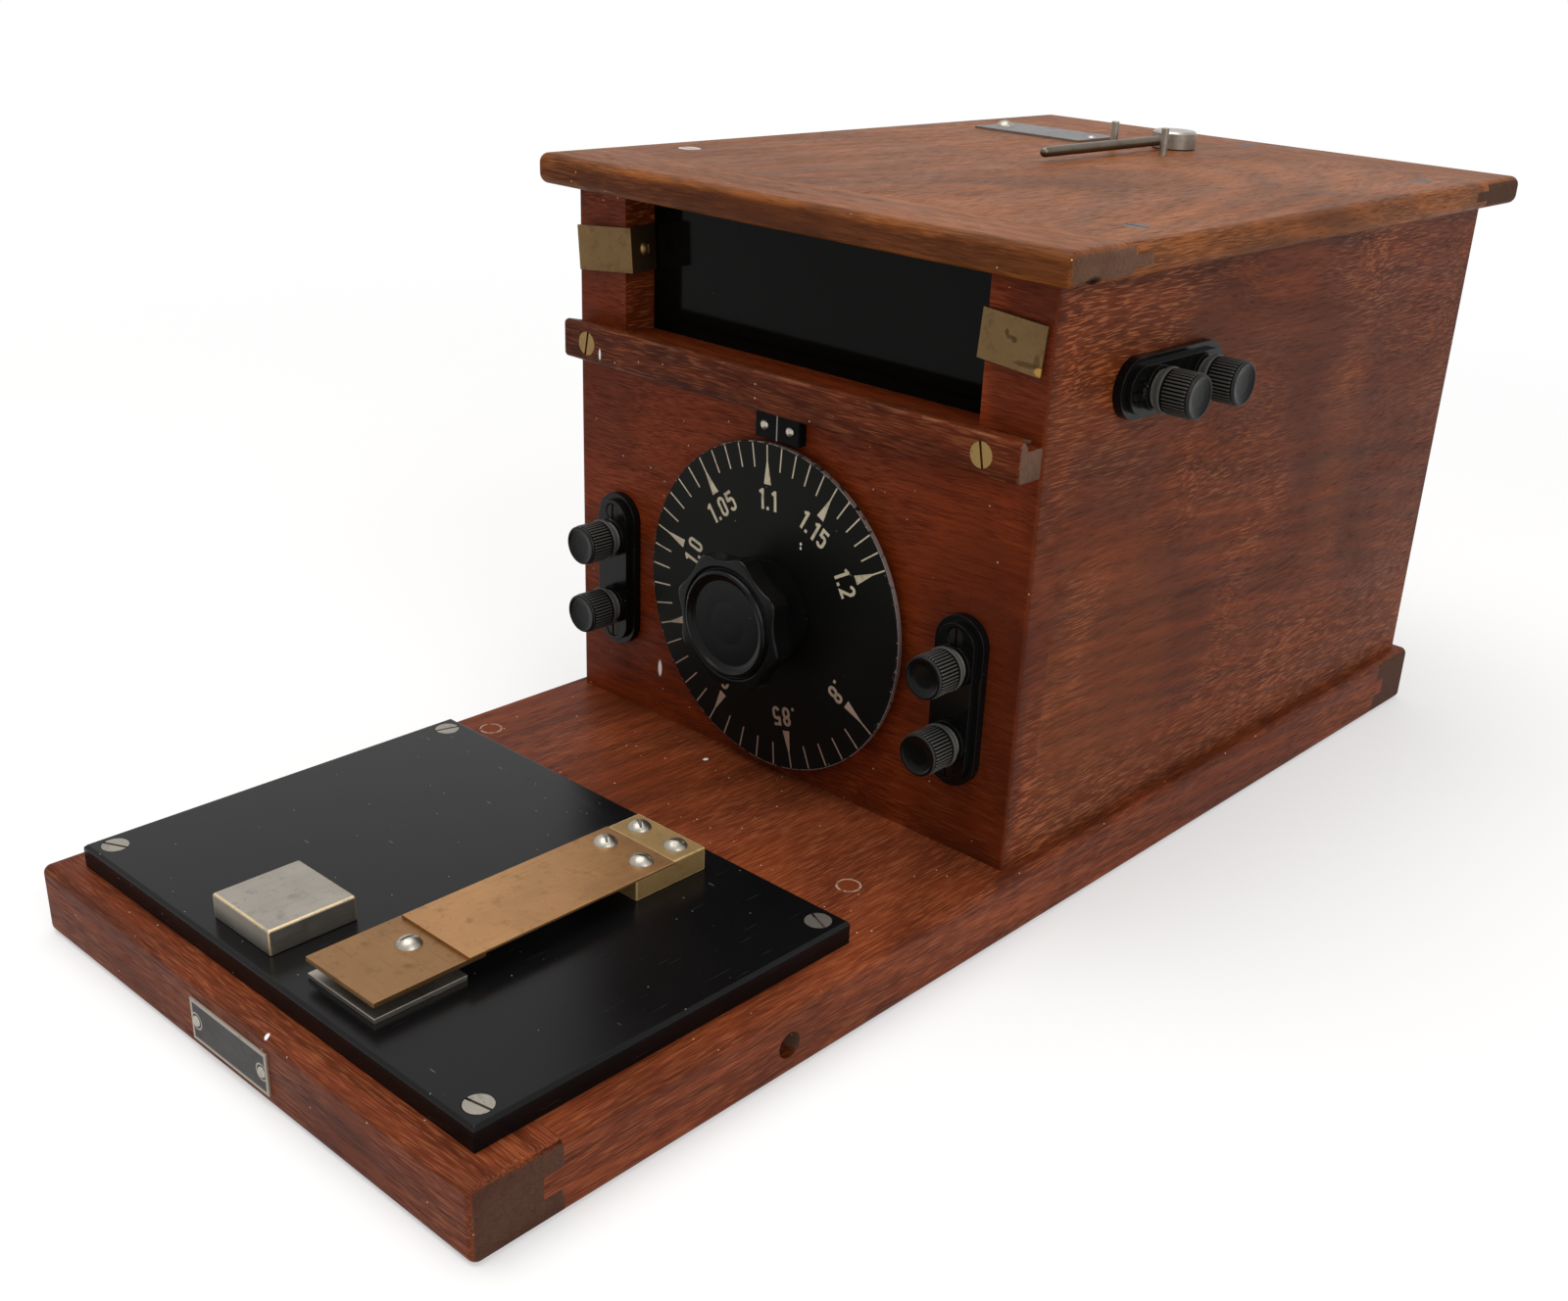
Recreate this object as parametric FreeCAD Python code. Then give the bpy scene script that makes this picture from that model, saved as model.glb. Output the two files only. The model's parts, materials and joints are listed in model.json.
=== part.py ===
import FreeCAD, Part
import math
import os

# Desk resistance bridge: a wooden base with a lidded case at the back, and a
# press key on an ebonite panel at the front. Millimetres, +Z up, -Y is the
# front, origin at the centre of the underside of the base.

V = FreeCAD.Vector
X_AXIS = V(1, 0, 0)
Y_AXIS = V(0, 1, 0)
Z_AXIS = V(0, 0, 1)

# General clearances
wood_fit = 0.05          # pegs, screws and studs in their holes, radial
shaft_fit = 0.05         # running fit of a shaft in its bush, radial
free_gap = 0.4           # between pieces that move past each other
overlap = 0.2            # shared depth of shapes joined into one solid

# Base board, breadboard ends
base_width = 203.2
apron_length = 204.2     # base in front of the case
rear_margin = 4.6        # base behind the case
base_thick = 22.2
base_round = 2.6
base_end_width = 27.0
tongue_length = 6.2
base_tongue_thick = 6.4

# Case
case_inset = 4.8         # base's edge beside the case
case_length = 269.6
case_height = 178.7
wall = 12.7
case_edge_round = 1.2

# Lid, breadboard ends
lid_thick = 9.7
lid_over_side = 10.0
lid_over_front = 9.7
lid_over_back = 8.9
lid_round = 3.2
lid_end_width = 29.0
lid_tongue_length = 9.0
lid_tongue_thick = 3.4
lid_chip_depth = 8.0      # worn notch under the front right corner
lid_chip_width = 3.5
lid_chip_height = 2.0
lid_chip_from_front = 3.7

# Window in the front wall, open up to the lid
window_post = 22.8       # front wall left at each side of the window
sill_height = 134.0      # window's lower edge above the base
glass_thick = 3.0
glass_lap = 7.0          # glass behind the wall round the window
batten_width = 10.0
batten_thick = 8.0
batten_drop = 6.0        # batten's foot below the glass

# Ledge strip under the window, its top sloping up to the front
ledge_left_in = 2.3      # ledge's left end inside the case's side
ledge_right_in = 0.6     # and its right end
ledge_height = 13.0      # at its front face
ledge_proud = 9.7
ledge_lip = 0.8          # ledge's top above the sill, at the wall
ledge_rise = 2.1         # and its further rise to the front
ledge_round = 1.6
ledge_screw_in = 14.2    # screws inside the case's sides
ledge_screw_drop = 6.8
ledge_chip_length = 4.0  # piece broken out of the right end
ledge_chip_depth = 7.0
ledge_chip_height = 3.4

# Brass clips at the window's sides
clip_leg = 12.0
clip_face = 22.2
clip_height = 14.4
clip_thick = 0.9
clip_above_middle = 4.75  # clip's middle above the window's
clip_off = 0.1           # clip's face off the wall, at the bend
left_clip_turn = 9.4     # degrees, sprung forward
right_clip_turn = 1.4
clip_droop = 4.2         # degrees, outer end down
clip_screw_back = 6.4    # screw behind the clip's bend
clip_screw_radius = 2.6
clip_screw_height = 1.3
clip_shank_radius = 1.4

# Dial, shaft, knob
dial_x = -0.5
dial_above_base = 58.5
dial_radius = 54.7
dial_thick = 1.6
dial_gap = 2.9           # between the wall and the dial's back
shaft_radius = 3.175
shaft_into_knob = 14.0
shaft_behind_wall = 26.0
shaft_collar_radius = 6.0
knob_radius = 21.5       # rim, midway between lobe and hollow
knob_lobe = 1.3
knob_lobes = 8
knob_lobe_turn = 31.0    # degrees, first lobe from the level
knob_skirt_radius = 17.6
knob_neck_radius = 20.2
knob_skirt_depth = 12.5
knob_lobed_depth = 7.0
knob_ring_radius = 16.6
knob_ring_wide = 1.5
knob_ring_proud = 1.4
knob_ring_flare = 1.2    # ring wider at its foot
knob_dish = 1.2
knob_dish_slope = 2.0    # width of the dish's sloped wall
knob_dish_rise = 0.4     # dish's floor higher at its edge
knob_dish_lip = 0.4      # upright part of the dish's wall
bush_radius = 6.5
bush_flange_radius = 9.5
bush_flange_thick = 1.8
shaft_collar_length = 3.0

# Slide wire behind the wall
wire_outer_radius = 44.0
wire_inner_radius = 36.0
wire_depth = 12.0
wiper_width = 6.0
wiper_thick = 1.2
wiper_hub_radius = 7.0
wiper_hub_length = 6.0
wiper_short = 2.0        # arm's tip inside the wire's outer edge

# Index block over the dial
index_width = 18.6
index_height = 8.6
index_thick = 3.6
index_round = 0.5
index_pin_span = 10.8
index_over_dial = 0.8

# Terminal pairs, three alike
term_length = 55.5
term_width = 18.3
term_flange_thick = 3.0
term_step_thick = 2.0
term_step_in = 2.0
term_boss_radius = 6.8
term_boss_thick = 1.2
term_spacing = 25.0
term_screw_spacing = 43.0
term_well_radius = 3.1
term_well_depth = 1.6
term_head_gap = 0.3      # screw's head inside its well
term_head_sunk = 0.2     # and below the well's edge
stud_radius = 2.4
stud_into_case = 14.0
stud_end_gap = 1.0       # stud's end short of the nut's bore
stud_nut_corner = 5.2
stud_nut_thick = 3.2
term_screw_length = 13.0
thumb_radius = 6.7
thumb_rib_depth = 0.45
thumb_ribs = 24
thumb_rib_length = 8.4
thumb_rim_thick = 1.2
thumb_rim_in = 0.2
thumb_rim_chamfer = 0.4
thumb_dish = 0.9
thumb_dish_in = 1.6      # dish's edge inside the ribs
thumb_flange_radius = 7.0
thumb_flange_thick = 1.6
thumb_collar_radius = 5.8
thumb_collar_thick = 1.9
thumb_seat_gap = 0.3
thumb_bore_depth = 9.0
front_term_from_side = 21.1
front_term_above_base = 50.8
side_term_y_from_front = 59.0
side_term_below_lid = 34.4

# Ebonite panel on the apron
panel_side_in = 10.1     # base's edge beside the panel
panel_length = 130.7
panel_thick = 7.3
panel_setback = 9.0
panel_chamfer = 0.9
panel_screw_inset = 6.5
wire_channel_width = 20.0   # grooves for the leads, under the panel
wire_channel_floor = 5.6

# Square contact block
block_width = 27.6
block_length = 26.8
block_height = 7.8
block_chamfer = 0.5
block_from_left = 75.3   # panel's left edge to the block's centre
block_from_front = 19.5

# Press key
key_from_left = 119.9    # panel's left edge to the key's centre line
key_block_width = 28.6
key_block_length = 27.0
key_block_height = 7.5
key_block_from_rear = 9.5
strip_width = 29.4
strip_thick = 1.0
strip_free_length = 58.0
strip_clamped = 14.5
strip_lap = 6.0
pad_width = 29.8
pad_length = 34.6
pad_thick = 1.6
pad_shift = 1.1          # pad's centre left of the strip's
key_screw_from_front = 22.4
key_screw_shift = 1.8    # pad's screw left of the pad's centre
contact_tip_radius = 3.0
contact_touch_gap = 0.05  # contact off the plate, key pressed
plate_width = 29.2
plate_length = 28.6
plate_thick = 1.6
plate_stud_radius = 2.0
plate_stud_below = 5.0   # stud below the panel
contact_nut_corner = 4.2
contact_nut_thick = 2.6
key_press_deg = 1.5
key_screw_row = 13.3     # between the two rows of screws
key_screw_span = 15.4
key_rear_screw_in = 5.8
key_screw_length = 12.0

# Round-head screws
round_head_radius = 3.7
round_head_height = 2.2
round_shank_radius = 1.9
slot_width = 0.8
slot_depth = 1.0

# Flat-head wood screws
flat_head_radius = 3.9
flat_head_rim = 0.3
flat_shank_radius = 2.0
lid_screw_length = 22.0
panel_screw_length = 20.0
ledge_screw_length = 17.0
clip_screw_length = 7.0
tag_screw_length = 7.0
lid_screw_from_front = 44.0
lid_screw_from_rear = 41.4

# Bare plates and their pins
nameplate_width = 36.6
nameplate_height = 13.0
nameplate_thick = 0.6
nameplate_drop = 0.8     # below the middle of the base's edge
plate_pin_inset = 2.6
tag_width = 50.0
tag_length = 27.0
tag_thick = 0.8
tag_from_left = 20.8
tag_from_rear = 53.5
tag_screw_inset = 5.0
tag_pin_inset = 3.0
pin_radius = 0.9
pin_head_radius = 1.7
pin_head_height = 0.8
pin_length = 6.0

# Round wooden plugs and the lead hole in the base
plug_radius = 4.0
plug_depth = 9.0
right_plug_from_side = 31.6
right_plug_from_front = 163.6
left_plug_from_side = 13.9
left_plug_from_front = 153.4
lead_hole_radius = 4.0
lead_hole_z = 9.8
lead_hole_from_front = 105.0

# Zero lever on the lid
lever_x = -7.0
lever_from_rear = 58.5
hub_radius = 8.25
hub_height = 6.6
hub_chamfer = 0.7
spindle_radius = 3.2
spindle_drop = 38.0
rod_radius = 1.8
rod_length = 86.5
rod_height = 3.4
rod_socket = 5.0         # rod let into the hub
stop_pin_radius = 1.45
stop_pin_height = 9.8
stop_pin_root = 2.5      # wood left under a stop pin
stop_pin_forward = 25.0
lever_swing_deg = 16.0

# Galvanometer under the lever
magnet_leg_width = 13.0
magnet_leg_depth = 18.0
magnet_height = 74.0
magnet_gap = 24.0
magnet_bridge = 16.0
frame_foot_thick = 8.0
frame_foot_width = 76.0
frame_foot_length = 54.0
coil_width = 17.0
coil_depth = 6.0
coil_height = 34.0
coil_wire = 3.0
coil_stem_radius = 1.0
mirror_width = 11.0
mirror_height = 13.0
mirror_thick = 1.2
mirror_above_coil = 8.0
mirror_off_stem = 0.1
coil_below_magnet_top = 2.0

# Lamp house and ratio coils
lamp_x = 48.0
lamp_y_from_front = 92.0
lamp_tube_radius = 13.0
lamp_tube_wall = 1.6
lamp_tube_length = 46.0
lamp_height = 40.0
lamp_back_wall = 3.0
lamp_foot_width = 18.0
lamp_foot_length = 20.0
lamp_foot_in = 6.0
bulb_radius = 8.0
bulb_cap_radius = 6.5
bulb_cap_length = 14.0
bulb_reach = 20.0        # cap's foot to the globe's centre
spool_radius = 11.0
spool_core_radius = 8.6
spool_height = 32.0
spool_flange = 2.0
spool_pitch = 27.0
spool_x = -58.0
spool_from_front = 60.0
spool_count = 3
corner_block_side = 14.0
corner_block_height = 26.0


# Places worked out from the sizes above
base_length = apron_length + case_length + rear_margin
base_front = -base_length / 2
base_rear = base_length / 2
base_top = base_thick
case_front = base_front + apron_length
case_rear = case_front + case_length
case_top = base_top + case_height
case_half = base_width / 2 - case_inset
lid_top = case_top + lid_thick
lid_half = case_half + lid_over_side
lid_front = case_front - lid_over_front
lid_rear = case_rear + lid_over_back
inner_front = case_front + wall
inner_rear = case_rear - wall
inner_half = case_half - wall
window_sill = base_top + sill_height
window_half = case_half - window_post
panel_front = base_front + panel_setback
panel_rear = panel_front + panel_length
panel_left = panel_side_in - base_width / 2
panel_top = base_top + panel_thick
dial_z = base_top + dial_above_base
dial_back = case_front - dial_gap
dial_front = dial_back - dial_thick
dial_hole_radius = shaft_radius + wood_fit
key_x = panel_left + key_from_left
key_block_rear = panel_rear - key_block_from_rear
key_block_front = key_block_rear - key_block_length
key_block_top = panel_top + key_block_height
strip_bottom = key_block_top - strip_thick
strip_end = key_block_front - strip_free_length
pad_rear = strip_end + strip_lap
pad_front = pad_rear - pad_length
pad_bottom = strip_bottom - pad_thick
pad_x = key_x - pad_shift
hinge_y = key_block_front - free_gap / 2
lever_y = lid_rear - lever_from_rear
stop_pin_y = lever_y - stop_pin_forward
swing = math.radians(lever_swing_deg)
rod_to_pin = rod_radius + stop_pin_radius + free_gap
stop_pin_side = (rod_to_pin + stop_pin_forward * math.sin(swing)) / math.cos(swing)
term_front_thick = term_flange_thick + term_step_thick
thumb_start = term_front_thick + term_boss_thick + thumb_seat_gap
spindle_bottom = case_top - spindle_drop


def box(x0, x1, y0, y1, z0, z1):
    """A block between two corners."""
    return Part.makeBox(x1 - x0, y1 - y0, z1 - z0, V(x0, y0, z0))


def rod(radius, start, end):
    """A round bar from start to end."""
    direction = end - start
    return Part.makeCylinder(radius, direction.Length, start, direction)


def revolve(profile):
    """A turned piece about local Z from (radius, height) points."""
    points = [V(r, 0, z) for r, z in profile]
    wire = Part.makePolygon(points + [points[0]])
    return Part.Face(wire).revolve(V(0, 0, 0), Z_AXIS, 360)


def outward(position, out, along):
    """Placement whose local Z points along out and local X along along."""
    side = out.cross(along)
    turn = FreeCAD.Rotation(along, side, out, "ZXY")
    return FreeCAD.Placement(position, turn)


def put(shape, placement):
    """A copy of a locally drawn shape, moved into the part's frame."""
    moved = shape.copy()
    moved.Placement = placement.multiply(moved.Placement)
    return moved


def cut_all(shape, tools):
    """Shape with every tool taken away."""
    for tool in tools:
        shape = shape.cut(tool)
    return shape


def rounded_box(x0, x1, y0, y1, z0, z1, radius):
    """A block with every edge rounded."""
    block = box(x0, x1, y0, y1, z0, z1)
    return block.makeFillet(radius, block.Edges)


def polygon_bar(radii, start_z, length):
    """A bar along local Z whose outline takes the radii in turn."""
    count = len(radii)
    points = []
    for i in range(count):
        angle = 2 * math.pi * i / count
        points.append(V(radii[i] * math.cos(angle), radii[i] * math.sin(angle), start_z))
    face = Part.Face(Part.makePolygon(points + [points[0]]))
    return face.extrude(V(0, 0, length))


def slotted(head, top_z, radius):
    """A screw head with its driver slot along local X."""
    slot = box(-radius - 1, radius + 1, -slot_width / 2, slot_width / 2, top_z - slot_depth, top_z + 1)
    return head.cut(slot)


def domed_head(radius, height):
    """Domed screw or pin head standing on local z = 0."""
    ball_radius = (radius ** 2 + height ** 2) / (2 * height)
    ball = Part.makeSphere(ball_radius, V(0, 0, height - ball_radius))
    return ball.common(Part.makeCylinder(radius, height))


def round_head_screw(shank_length):
    """Round-head screw, seat at local z = 0, head upward."""
    head = domed_head(round_head_radius, round_head_height)
    shank = rod(round_shank_radius, V(0, 0, -shank_length), V(0, 0, overlap))
    return slotted(head, round_head_height, round_head_radius).fuse(shank).removeSplitter()


def flat_head_screw(shank_length):
    """Countersunk screw, its flat top at local z = 0."""
    sink = flat_head_radius - flat_shank_radius
    profile = [(0, 0), (flat_head_radius, 0), (flat_head_radius, -flat_head_rim)]
    profile += [(flat_shank_radius, -flat_head_rim - sink), (flat_shank_radius, -shank_length)]
    profile += [(0, -shank_length)]
    return slotted(revolve(profile), 0, flat_head_radius)


def flat_head_hole(shank_length):
    """The hole that a countersunk screw fills, a little larger all round."""
    sink = flat_head_radius - flat_shank_radius
    head = flat_head_radius + wood_fit
    shank = flat_shank_radius + wood_fit
    profile = [(0, 1), (head, 1), (head, -flat_head_rim - wood_fit)]
    bottom = -shank_length - wood_fit
    profile += [(shank, -flat_head_rim - sink - wood_fit), (shank, bottom), (0, bottom)]
    return revolve(profile)


def pin_with_head():
    """Escutcheon pin, seat at local z = 0."""
    head = domed_head(pin_head_radius, pin_head_height)
    return head.fuse(rod(pin_radius, V(0, 0, -pin_length), V(0, 0, overlap))).removeSplitter()


def pin_hole():
    """The hole that a pin fills."""
    return rod(pin_radius + wood_fit, V(0, 0, -pin_length - wood_fit), V(0, 0, 1))


# Where the fasteners go
lid_screw_x = case_half - wall / 2
lid_screw_places = [
    outward(V(side * lid_screw_x, y, lid_top), Z_AXIS, X_AXIS)
    for side in (-1, 1)
    for y in (case_front + lid_screw_from_front, case_rear - lid_screw_from_rear)
]
lid_screw_places.append(outward(V(0, case_rear - wall / 2, lid_top), Z_AXIS, X_AXIS))
panel_screw_places = [
    outward(V(x, y, panel_top), Z_AXIS, along)
    for x, y, along in (
        (panel_left + panel_screw_inset, panel_front + panel_screw_inset, V(1, 0.5, 0).normalize()),
        (-panel_left - panel_screw_inset, panel_front + panel_screw_inset, V(1, 0.2, 0).normalize()),
        (panel_left + panel_screw_inset, panel_rear - panel_screw_inset, V(0.3, 1, 0).normalize()),
        (-panel_left - panel_screw_inset, panel_rear - panel_screw_inset, V(1, -0.4, 0).normalize()),
    )
]
ledge_front = case_front - ledge_proud
ledge_back_top = window_sill + ledge_lip
ledge_top = ledge_back_top + ledge_rise
ledge_screw_x = case_half - ledge_screw_in
ledge_screw_places = [
    outward(V(side * ledge_screw_x, ledge_front, ledge_top - ledge_screw_drop), -Y_AXIS,
            V(-side * 0.2, 0, 1).normalize())
    for side in (-1, 1)
]
index_bottom = dial_z + dial_radius + index_over_dial
index_mid_z = index_bottom + index_height / 2
index_face = case_front - index_thick
nameplate_z = base_thick / 2 - nameplate_drop
nameplate_face = base_front - nameplate_thick
tag_x0 = -lid_half + tag_from_left
tag_y0 = lid_rear - tag_from_rear - tag_length
tag_face = lid_top + tag_thick
tag_mid_y = tag_y0 + tag_length / 2
pin_places = [
    outward(V(dial_x + side * index_pin_span / 2, index_face, index_mid_z), -Y_AXIS, Z_AXIS)
    for side in (-1, 1)
]
pin_places += [
    outward(V(side * (nameplate_width / 2 - plate_pin_inset), nameplate_face, nameplate_z), -Y_AXIS, Z_AXIS)
    for side in (-1, 1)
]
pin_places.append(outward(V(tag_x0 + tag_width - tag_pin_inset, tag_mid_y, tag_face), Z_AXIS, X_AXIS))
tag_screw_place = outward(V(tag_x0 + tag_screw_inset, tag_mid_y, tag_face), Z_AXIS,
                          V(1, 0.4, 0).normalize())
front_term_x = case_half - front_term_from_side
front_term_z = base_top + front_term_above_base
terminals = {
    "left": outward(V(-front_term_x, case_front, front_term_z), -Y_AXIS, Z_AXIS),
    "right": outward(V(front_term_x, case_front, front_term_z), -Y_AXIS, Z_AXIS),
    "side": outward(V(case_half, case_front + side_term_y_from_front, case_top - side_term_below_lid),
                    X_AXIS, Y_AXIS),
}
stud_offsets = {"lower": -term_spacing / 2, "upper": term_spacing / 2}
term_screw_offsets = [-term_screw_spacing / 2, term_screw_spacing / 2]
stud_hole_radius = stud_radius + wood_fit
plug_places = [
    (base_width / 2 - right_plug_from_side, base_front + right_plug_from_front),
    (left_plug_from_side - base_width / 2, base_front + left_plug_from_front),
]


def terminal_holes():
    """Stud and screw holes that the three terminal pairs need in the case."""
    holes = []
    for place in terminals.values():
        for offset in stud_offsets.values():
            hole = rod(stud_hole_radius, V(offset, 0, -wall - 1), V(offset, 0, 1))
            holes.append(put(hole, place))
        for offset in term_screw_offsets:
            depth = term_screw_length - (term_front_thick - term_well_depth)
            hole = rod(round_shank_radius + wood_fit, V(offset, 0, -depth - wood_fit), V(offset, 0, 1))
            holes.append(put(hole, place))
    return holes


def pin_holes():
    return [put(pin_hole(), place) for place in pin_places]


def lid_screw_holes():
    return [put(flat_head_hole(lid_screw_length), place) for place in lid_screw_places]


def panel_screw_holes():
    return [put(flat_head_hole(panel_screw_length), place) for place in panel_screw_places]


def ledge_screw_holes():
    return [put(flat_head_hole(ledge_screw_length), place) for place in ledge_screw_places]


# Base
def base_pieces():
    """Main board with a tongue at each end, and the two grooved end strips."""
    half = base_width / 2
    whole = rounded_box(-half, half, base_front, base_rear, 0, base_thick, base_round)
    tongue_low = (base_thick - base_tongue_thick) / 2
    tongue_high = tongue_low + base_tongue_thick
    board_front = base_front + base_end_width
    board_rear = base_rear - base_end_width
    board_zone = box(-half, half, board_front, board_rear, 0, base_thick)
    tongue_zone = box(-half, half, board_front - tongue_length, board_rear + tongue_length,
                      tongue_low, tongue_high)
    board_zone = board_zone.fuse(tongue_zone)
    board = whole.common(board_zone)
    front_zone = box(-half, half, base_front, board_front, 0, base_thick)
    rear_zone = box(-half, half, board_rear, base_rear, 0, base_thick)
    front_strip = whole.common(front_zone.cut(tongue_zone))
    rear_strip = whole.common(rear_zone.cut(tongue_zone))
    holes = panel_screw_holes() + pin_holes() + plug_holes() + [lead_hole(), wire_channels()]
    board = cut_all(board, holes)
    front_strip = cut_all(front_strip, panel_screw_holes() + pin_holes() + [wire_channels()])
    return board, front_strip, rear_strip


lead_hole_y = base_front + lead_hole_from_front
channel_half = wire_channel_width / 2


def wire_channels():
    """Grooves for the leads under the panel, from both contacts to the lead hole."""
    right = pad_x + channel_half
    front = block_y - channel_half
    top = base_top + 1
    across = box(block_x - channel_half, right, front, block_y + channel_half, wire_channel_floor, top)
    along = box(pad_x - channel_half, right, front, lead_hole_y + channel_half, wire_channel_floor, top)
    return across.fuse(along)


def lead_hole():
    """Hole for the leads, from the right side into the channel."""
    return rod(lead_hole_radius, V(pad_x + channel_half - 1, lead_hole_y, lead_hole_z),
               V(base_width / 2 + 1, lead_hole_y, lead_hole_z))


def plug_holes():
    return [rod(plug_radius + wood_fit, V(x, y, base_top - plug_depth), V(x, y, base_top + 1))
            for x, y in plug_places]


def base_plugs():
    return [rod(plug_radius, V(x, y, base_top - plug_depth), V(x, y, base_top)) for x, y in plug_places]


# Case
def front_panel():
    """Front wall, notched for the window, with the shaft hole."""
    wall_block = box(-case_half, case_half, case_front, inner_front, base_top, case_top)
    edges = [e for e in wall_block.Edges
             if abs(e.BoundBox.ZLength - case_height) < 0.01 and abs(e.BoundBox.YMin - case_front) < 0.01]
    wall_block = wall_block.makeFillet(case_edge_round, edges)
    notch = box(-window_half, window_half, case_front - 1, inner_front + 1, window_sill, case_top + 1)
    shaft_hole = rod(bush_radius + wood_fit, V(dial_x, case_front - 1, dial_z),
                     V(dial_x, inner_front + 1, dial_z))
    holes = [notch, shaft_hole] + terminal_holes() + pin_holes() + ledge_screw_holes() + clip_screw_holes()
    return cut_all(wall_block, holes)


def side_wall(side):
    """Side wall behind the front wall, side -1 left or 1 right."""
    x0, x1 = sorted((side * inner_half, side * case_half))
    block = box(x0, x1, inner_front, case_rear, base_top, case_top)
    edges = [e for e in block.Edges
             if abs(e.BoundBox.ZLength - case_height) < 0.01
             and abs(e.BoundBox.YMin - case_rear) < 0.01
             and abs(e.BoundBox.XMin - side * case_half) < 0.01]
    block = block.makeFillet(case_edge_round, edges)
    return cut_all(block, terminal_holes() + lid_screw_holes())


def rear_panel():
    """Rear wall between the side walls."""
    block = box(-inner_half, inner_half, inner_rear, case_rear, base_top, case_top)
    return cut_all(block, lid_screw_holes())


def corner_blocks():
    """Glue blocks in the four lower corners of the case."""
    blocks = []
    for side in (-1, 1):
        for y0 in (inner_front, inner_rear - corner_block_side):
            y1 = y0 + corner_block_side
            x0, x1 = sorted((side * inner_half, side * (inner_half - corner_block_side)))
            blocks.append(box(x0, x1, y0, y1, base_top, base_top + corner_block_height))
    return blocks


def lid_pieces():
    """Lid board grooved at each end, and the two end strips with tongues."""
    whole = rounded_box(-lid_half, lid_half, lid_front, lid_rear, case_top, lid_top, lid_round)
    low = case_top + (lid_thick - lid_tongue_thick) / 2
    high = low + lid_tongue_thick
    joint_front = lid_front + lid_end_width
    joint_rear = lid_rear - lid_end_width
    front_zone = box(-lid_half, lid_half, lid_front, joint_front, case_top, lid_top)
    front_tongue = box(-lid_half, lid_half, joint_front, joint_front + lid_tongue_length, low, high)
    front_zone = front_zone.fuse(front_tongue)
    rear_zone = box(-lid_half, lid_half, joint_rear, lid_rear, case_top, lid_top)
    rear_tongue = box(-lid_half, lid_half, joint_rear - lid_tongue_length, joint_rear, low, high)
    rear_zone = rear_zone.fuse(rear_tongue)
    board = whole.cut(front_zone).cut(rear_zone)
    holes = lid_screw_holes() + pin_holes() + stop_pin_holes()
    spindle_hole = rod(spindle_radius + shaft_fit, V(lever_x, lever_y, case_top - 1),
                       V(lever_x, lever_y, lid_top + 1))
    holes.append(spindle_hole)
    holes.append(put(tag_screw_hole(), tag_screw_place))
    board = cut_all(board, holes)
    rear_strip = cut_all(whole.common(rear_zone), lid_screw_holes())
    return board, whole.common(front_zone).cut(lid_chip()), rear_strip


def lid_chip():
    """Worn notch in the lower edge of the lid's front strip, at the right."""
    y0 = lid_front + lid_chip_from_front
    return box(lid_half - lid_chip_width, lid_half + 1, y0, y0 + lid_chip_depth, case_top - 1,
               case_top + lid_chip_height)


def stop_pin_rod(grow):
    """The two upright pins beside the lever, each let into the lid."""
    pins = []
    for side in (-1, 1):
        x = lever_x + side * stop_pin_side
        root = V(x, stop_pin_y, case_top + stop_pin_root - grow)
        pins.append(rod(stop_pin_radius + grow, root, V(x, stop_pin_y, lid_top + stop_pin_height)))
    return pins


def stop_pin_holes():
    return stop_pin_rod(wood_fit)


def ledge_strip():
    """Wooden strip under the window, screwed to the front wall."""
    x0 = ledge_left_in - case_half
    x1 = case_half - ledge_right_in
    bottom = ledge_top - ledge_height
    profile = [V(x0, case_front, bottom), V(x0, case_front, ledge_back_top), V(x0, ledge_front, ledge_top),
               V(x0, ledge_front, bottom)]
    block = Part.Face(Part.makePolygon(profile + [profile[0]])).extrude(V(x1 - x0, 0, 0))
    edges = [e for e in block.Edges if e.BoundBox.YMin < case_front - 0.1]
    block = block.makeFillet(ledge_round, edges)
    chip = box(x1 - ledge_chip_length, x1 + 1, case_front - ledge_chip_depth, case_front + 1,
               ledge_top - ledge_chip_height, ledge_top + 1)
    return cut_all(block.cut(chip), ledge_screw_holes())


def window_glass():
    """Dark glass behind the window."""
    return box(-window_half - glass_lap, window_half + glass_lap, inner_front, inner_front + glass_thick,
               window_sill - glass_lap, case_top - free_gap)


def glass_battens():
    """Two battens that hold the glass from behind, fixed to the side walls."""
    pieces = []
    for side in (-1, 1):
        x0, x1 = sorted((side * inner_half, side * (inner_half - batten_width)))
        pieces.append(box(x0, x1, inner_front + glass_thick, inner_front + glass_thick + batten_thick,
                          window_sill - glass_lap - batten_drop, case_top))
    return pieces


def clip_placement(side, turn):
    """Local frame of a clip: origin at the upper rear corner of its leg, Y to the back, Z up."""
    clip_top = (window_sill + case_top) / 2 + clip_above_middle + clip_height / 2
    position = V(side * window_half, case_front + clip_leg - clip_off, clip_top)
    sprung = FreeCAD.Rotation(Z_AXIS, -side * turn)
    drooping = FreeCAD.Rotation(Y_AXIS, side * clip_droop)
    return FreeCAD.Placement(position, sprung.multiply(drooping))


def clip_solid(side, turn):
    """L-shaped clip: one leg on the window's side, one across the front."""
    inward = -side * clip_thick
    leg_x0, leg_x1 = sorted((0, inward))
    leg = box(leg_x0, leg_x1, -clip_leg - clip_thick, 0, -clip_height, 0)
    face_x0, face_x1 = sorted((inward, side * clip_face + inward))
    face = box(face_x0, face_x1, -clip_leg - clip_thick, -clip_leg, -clip_height, 0)
    return put(leg.fuse(face).removeSplitter(), clip_placement(side, turn))


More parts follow.
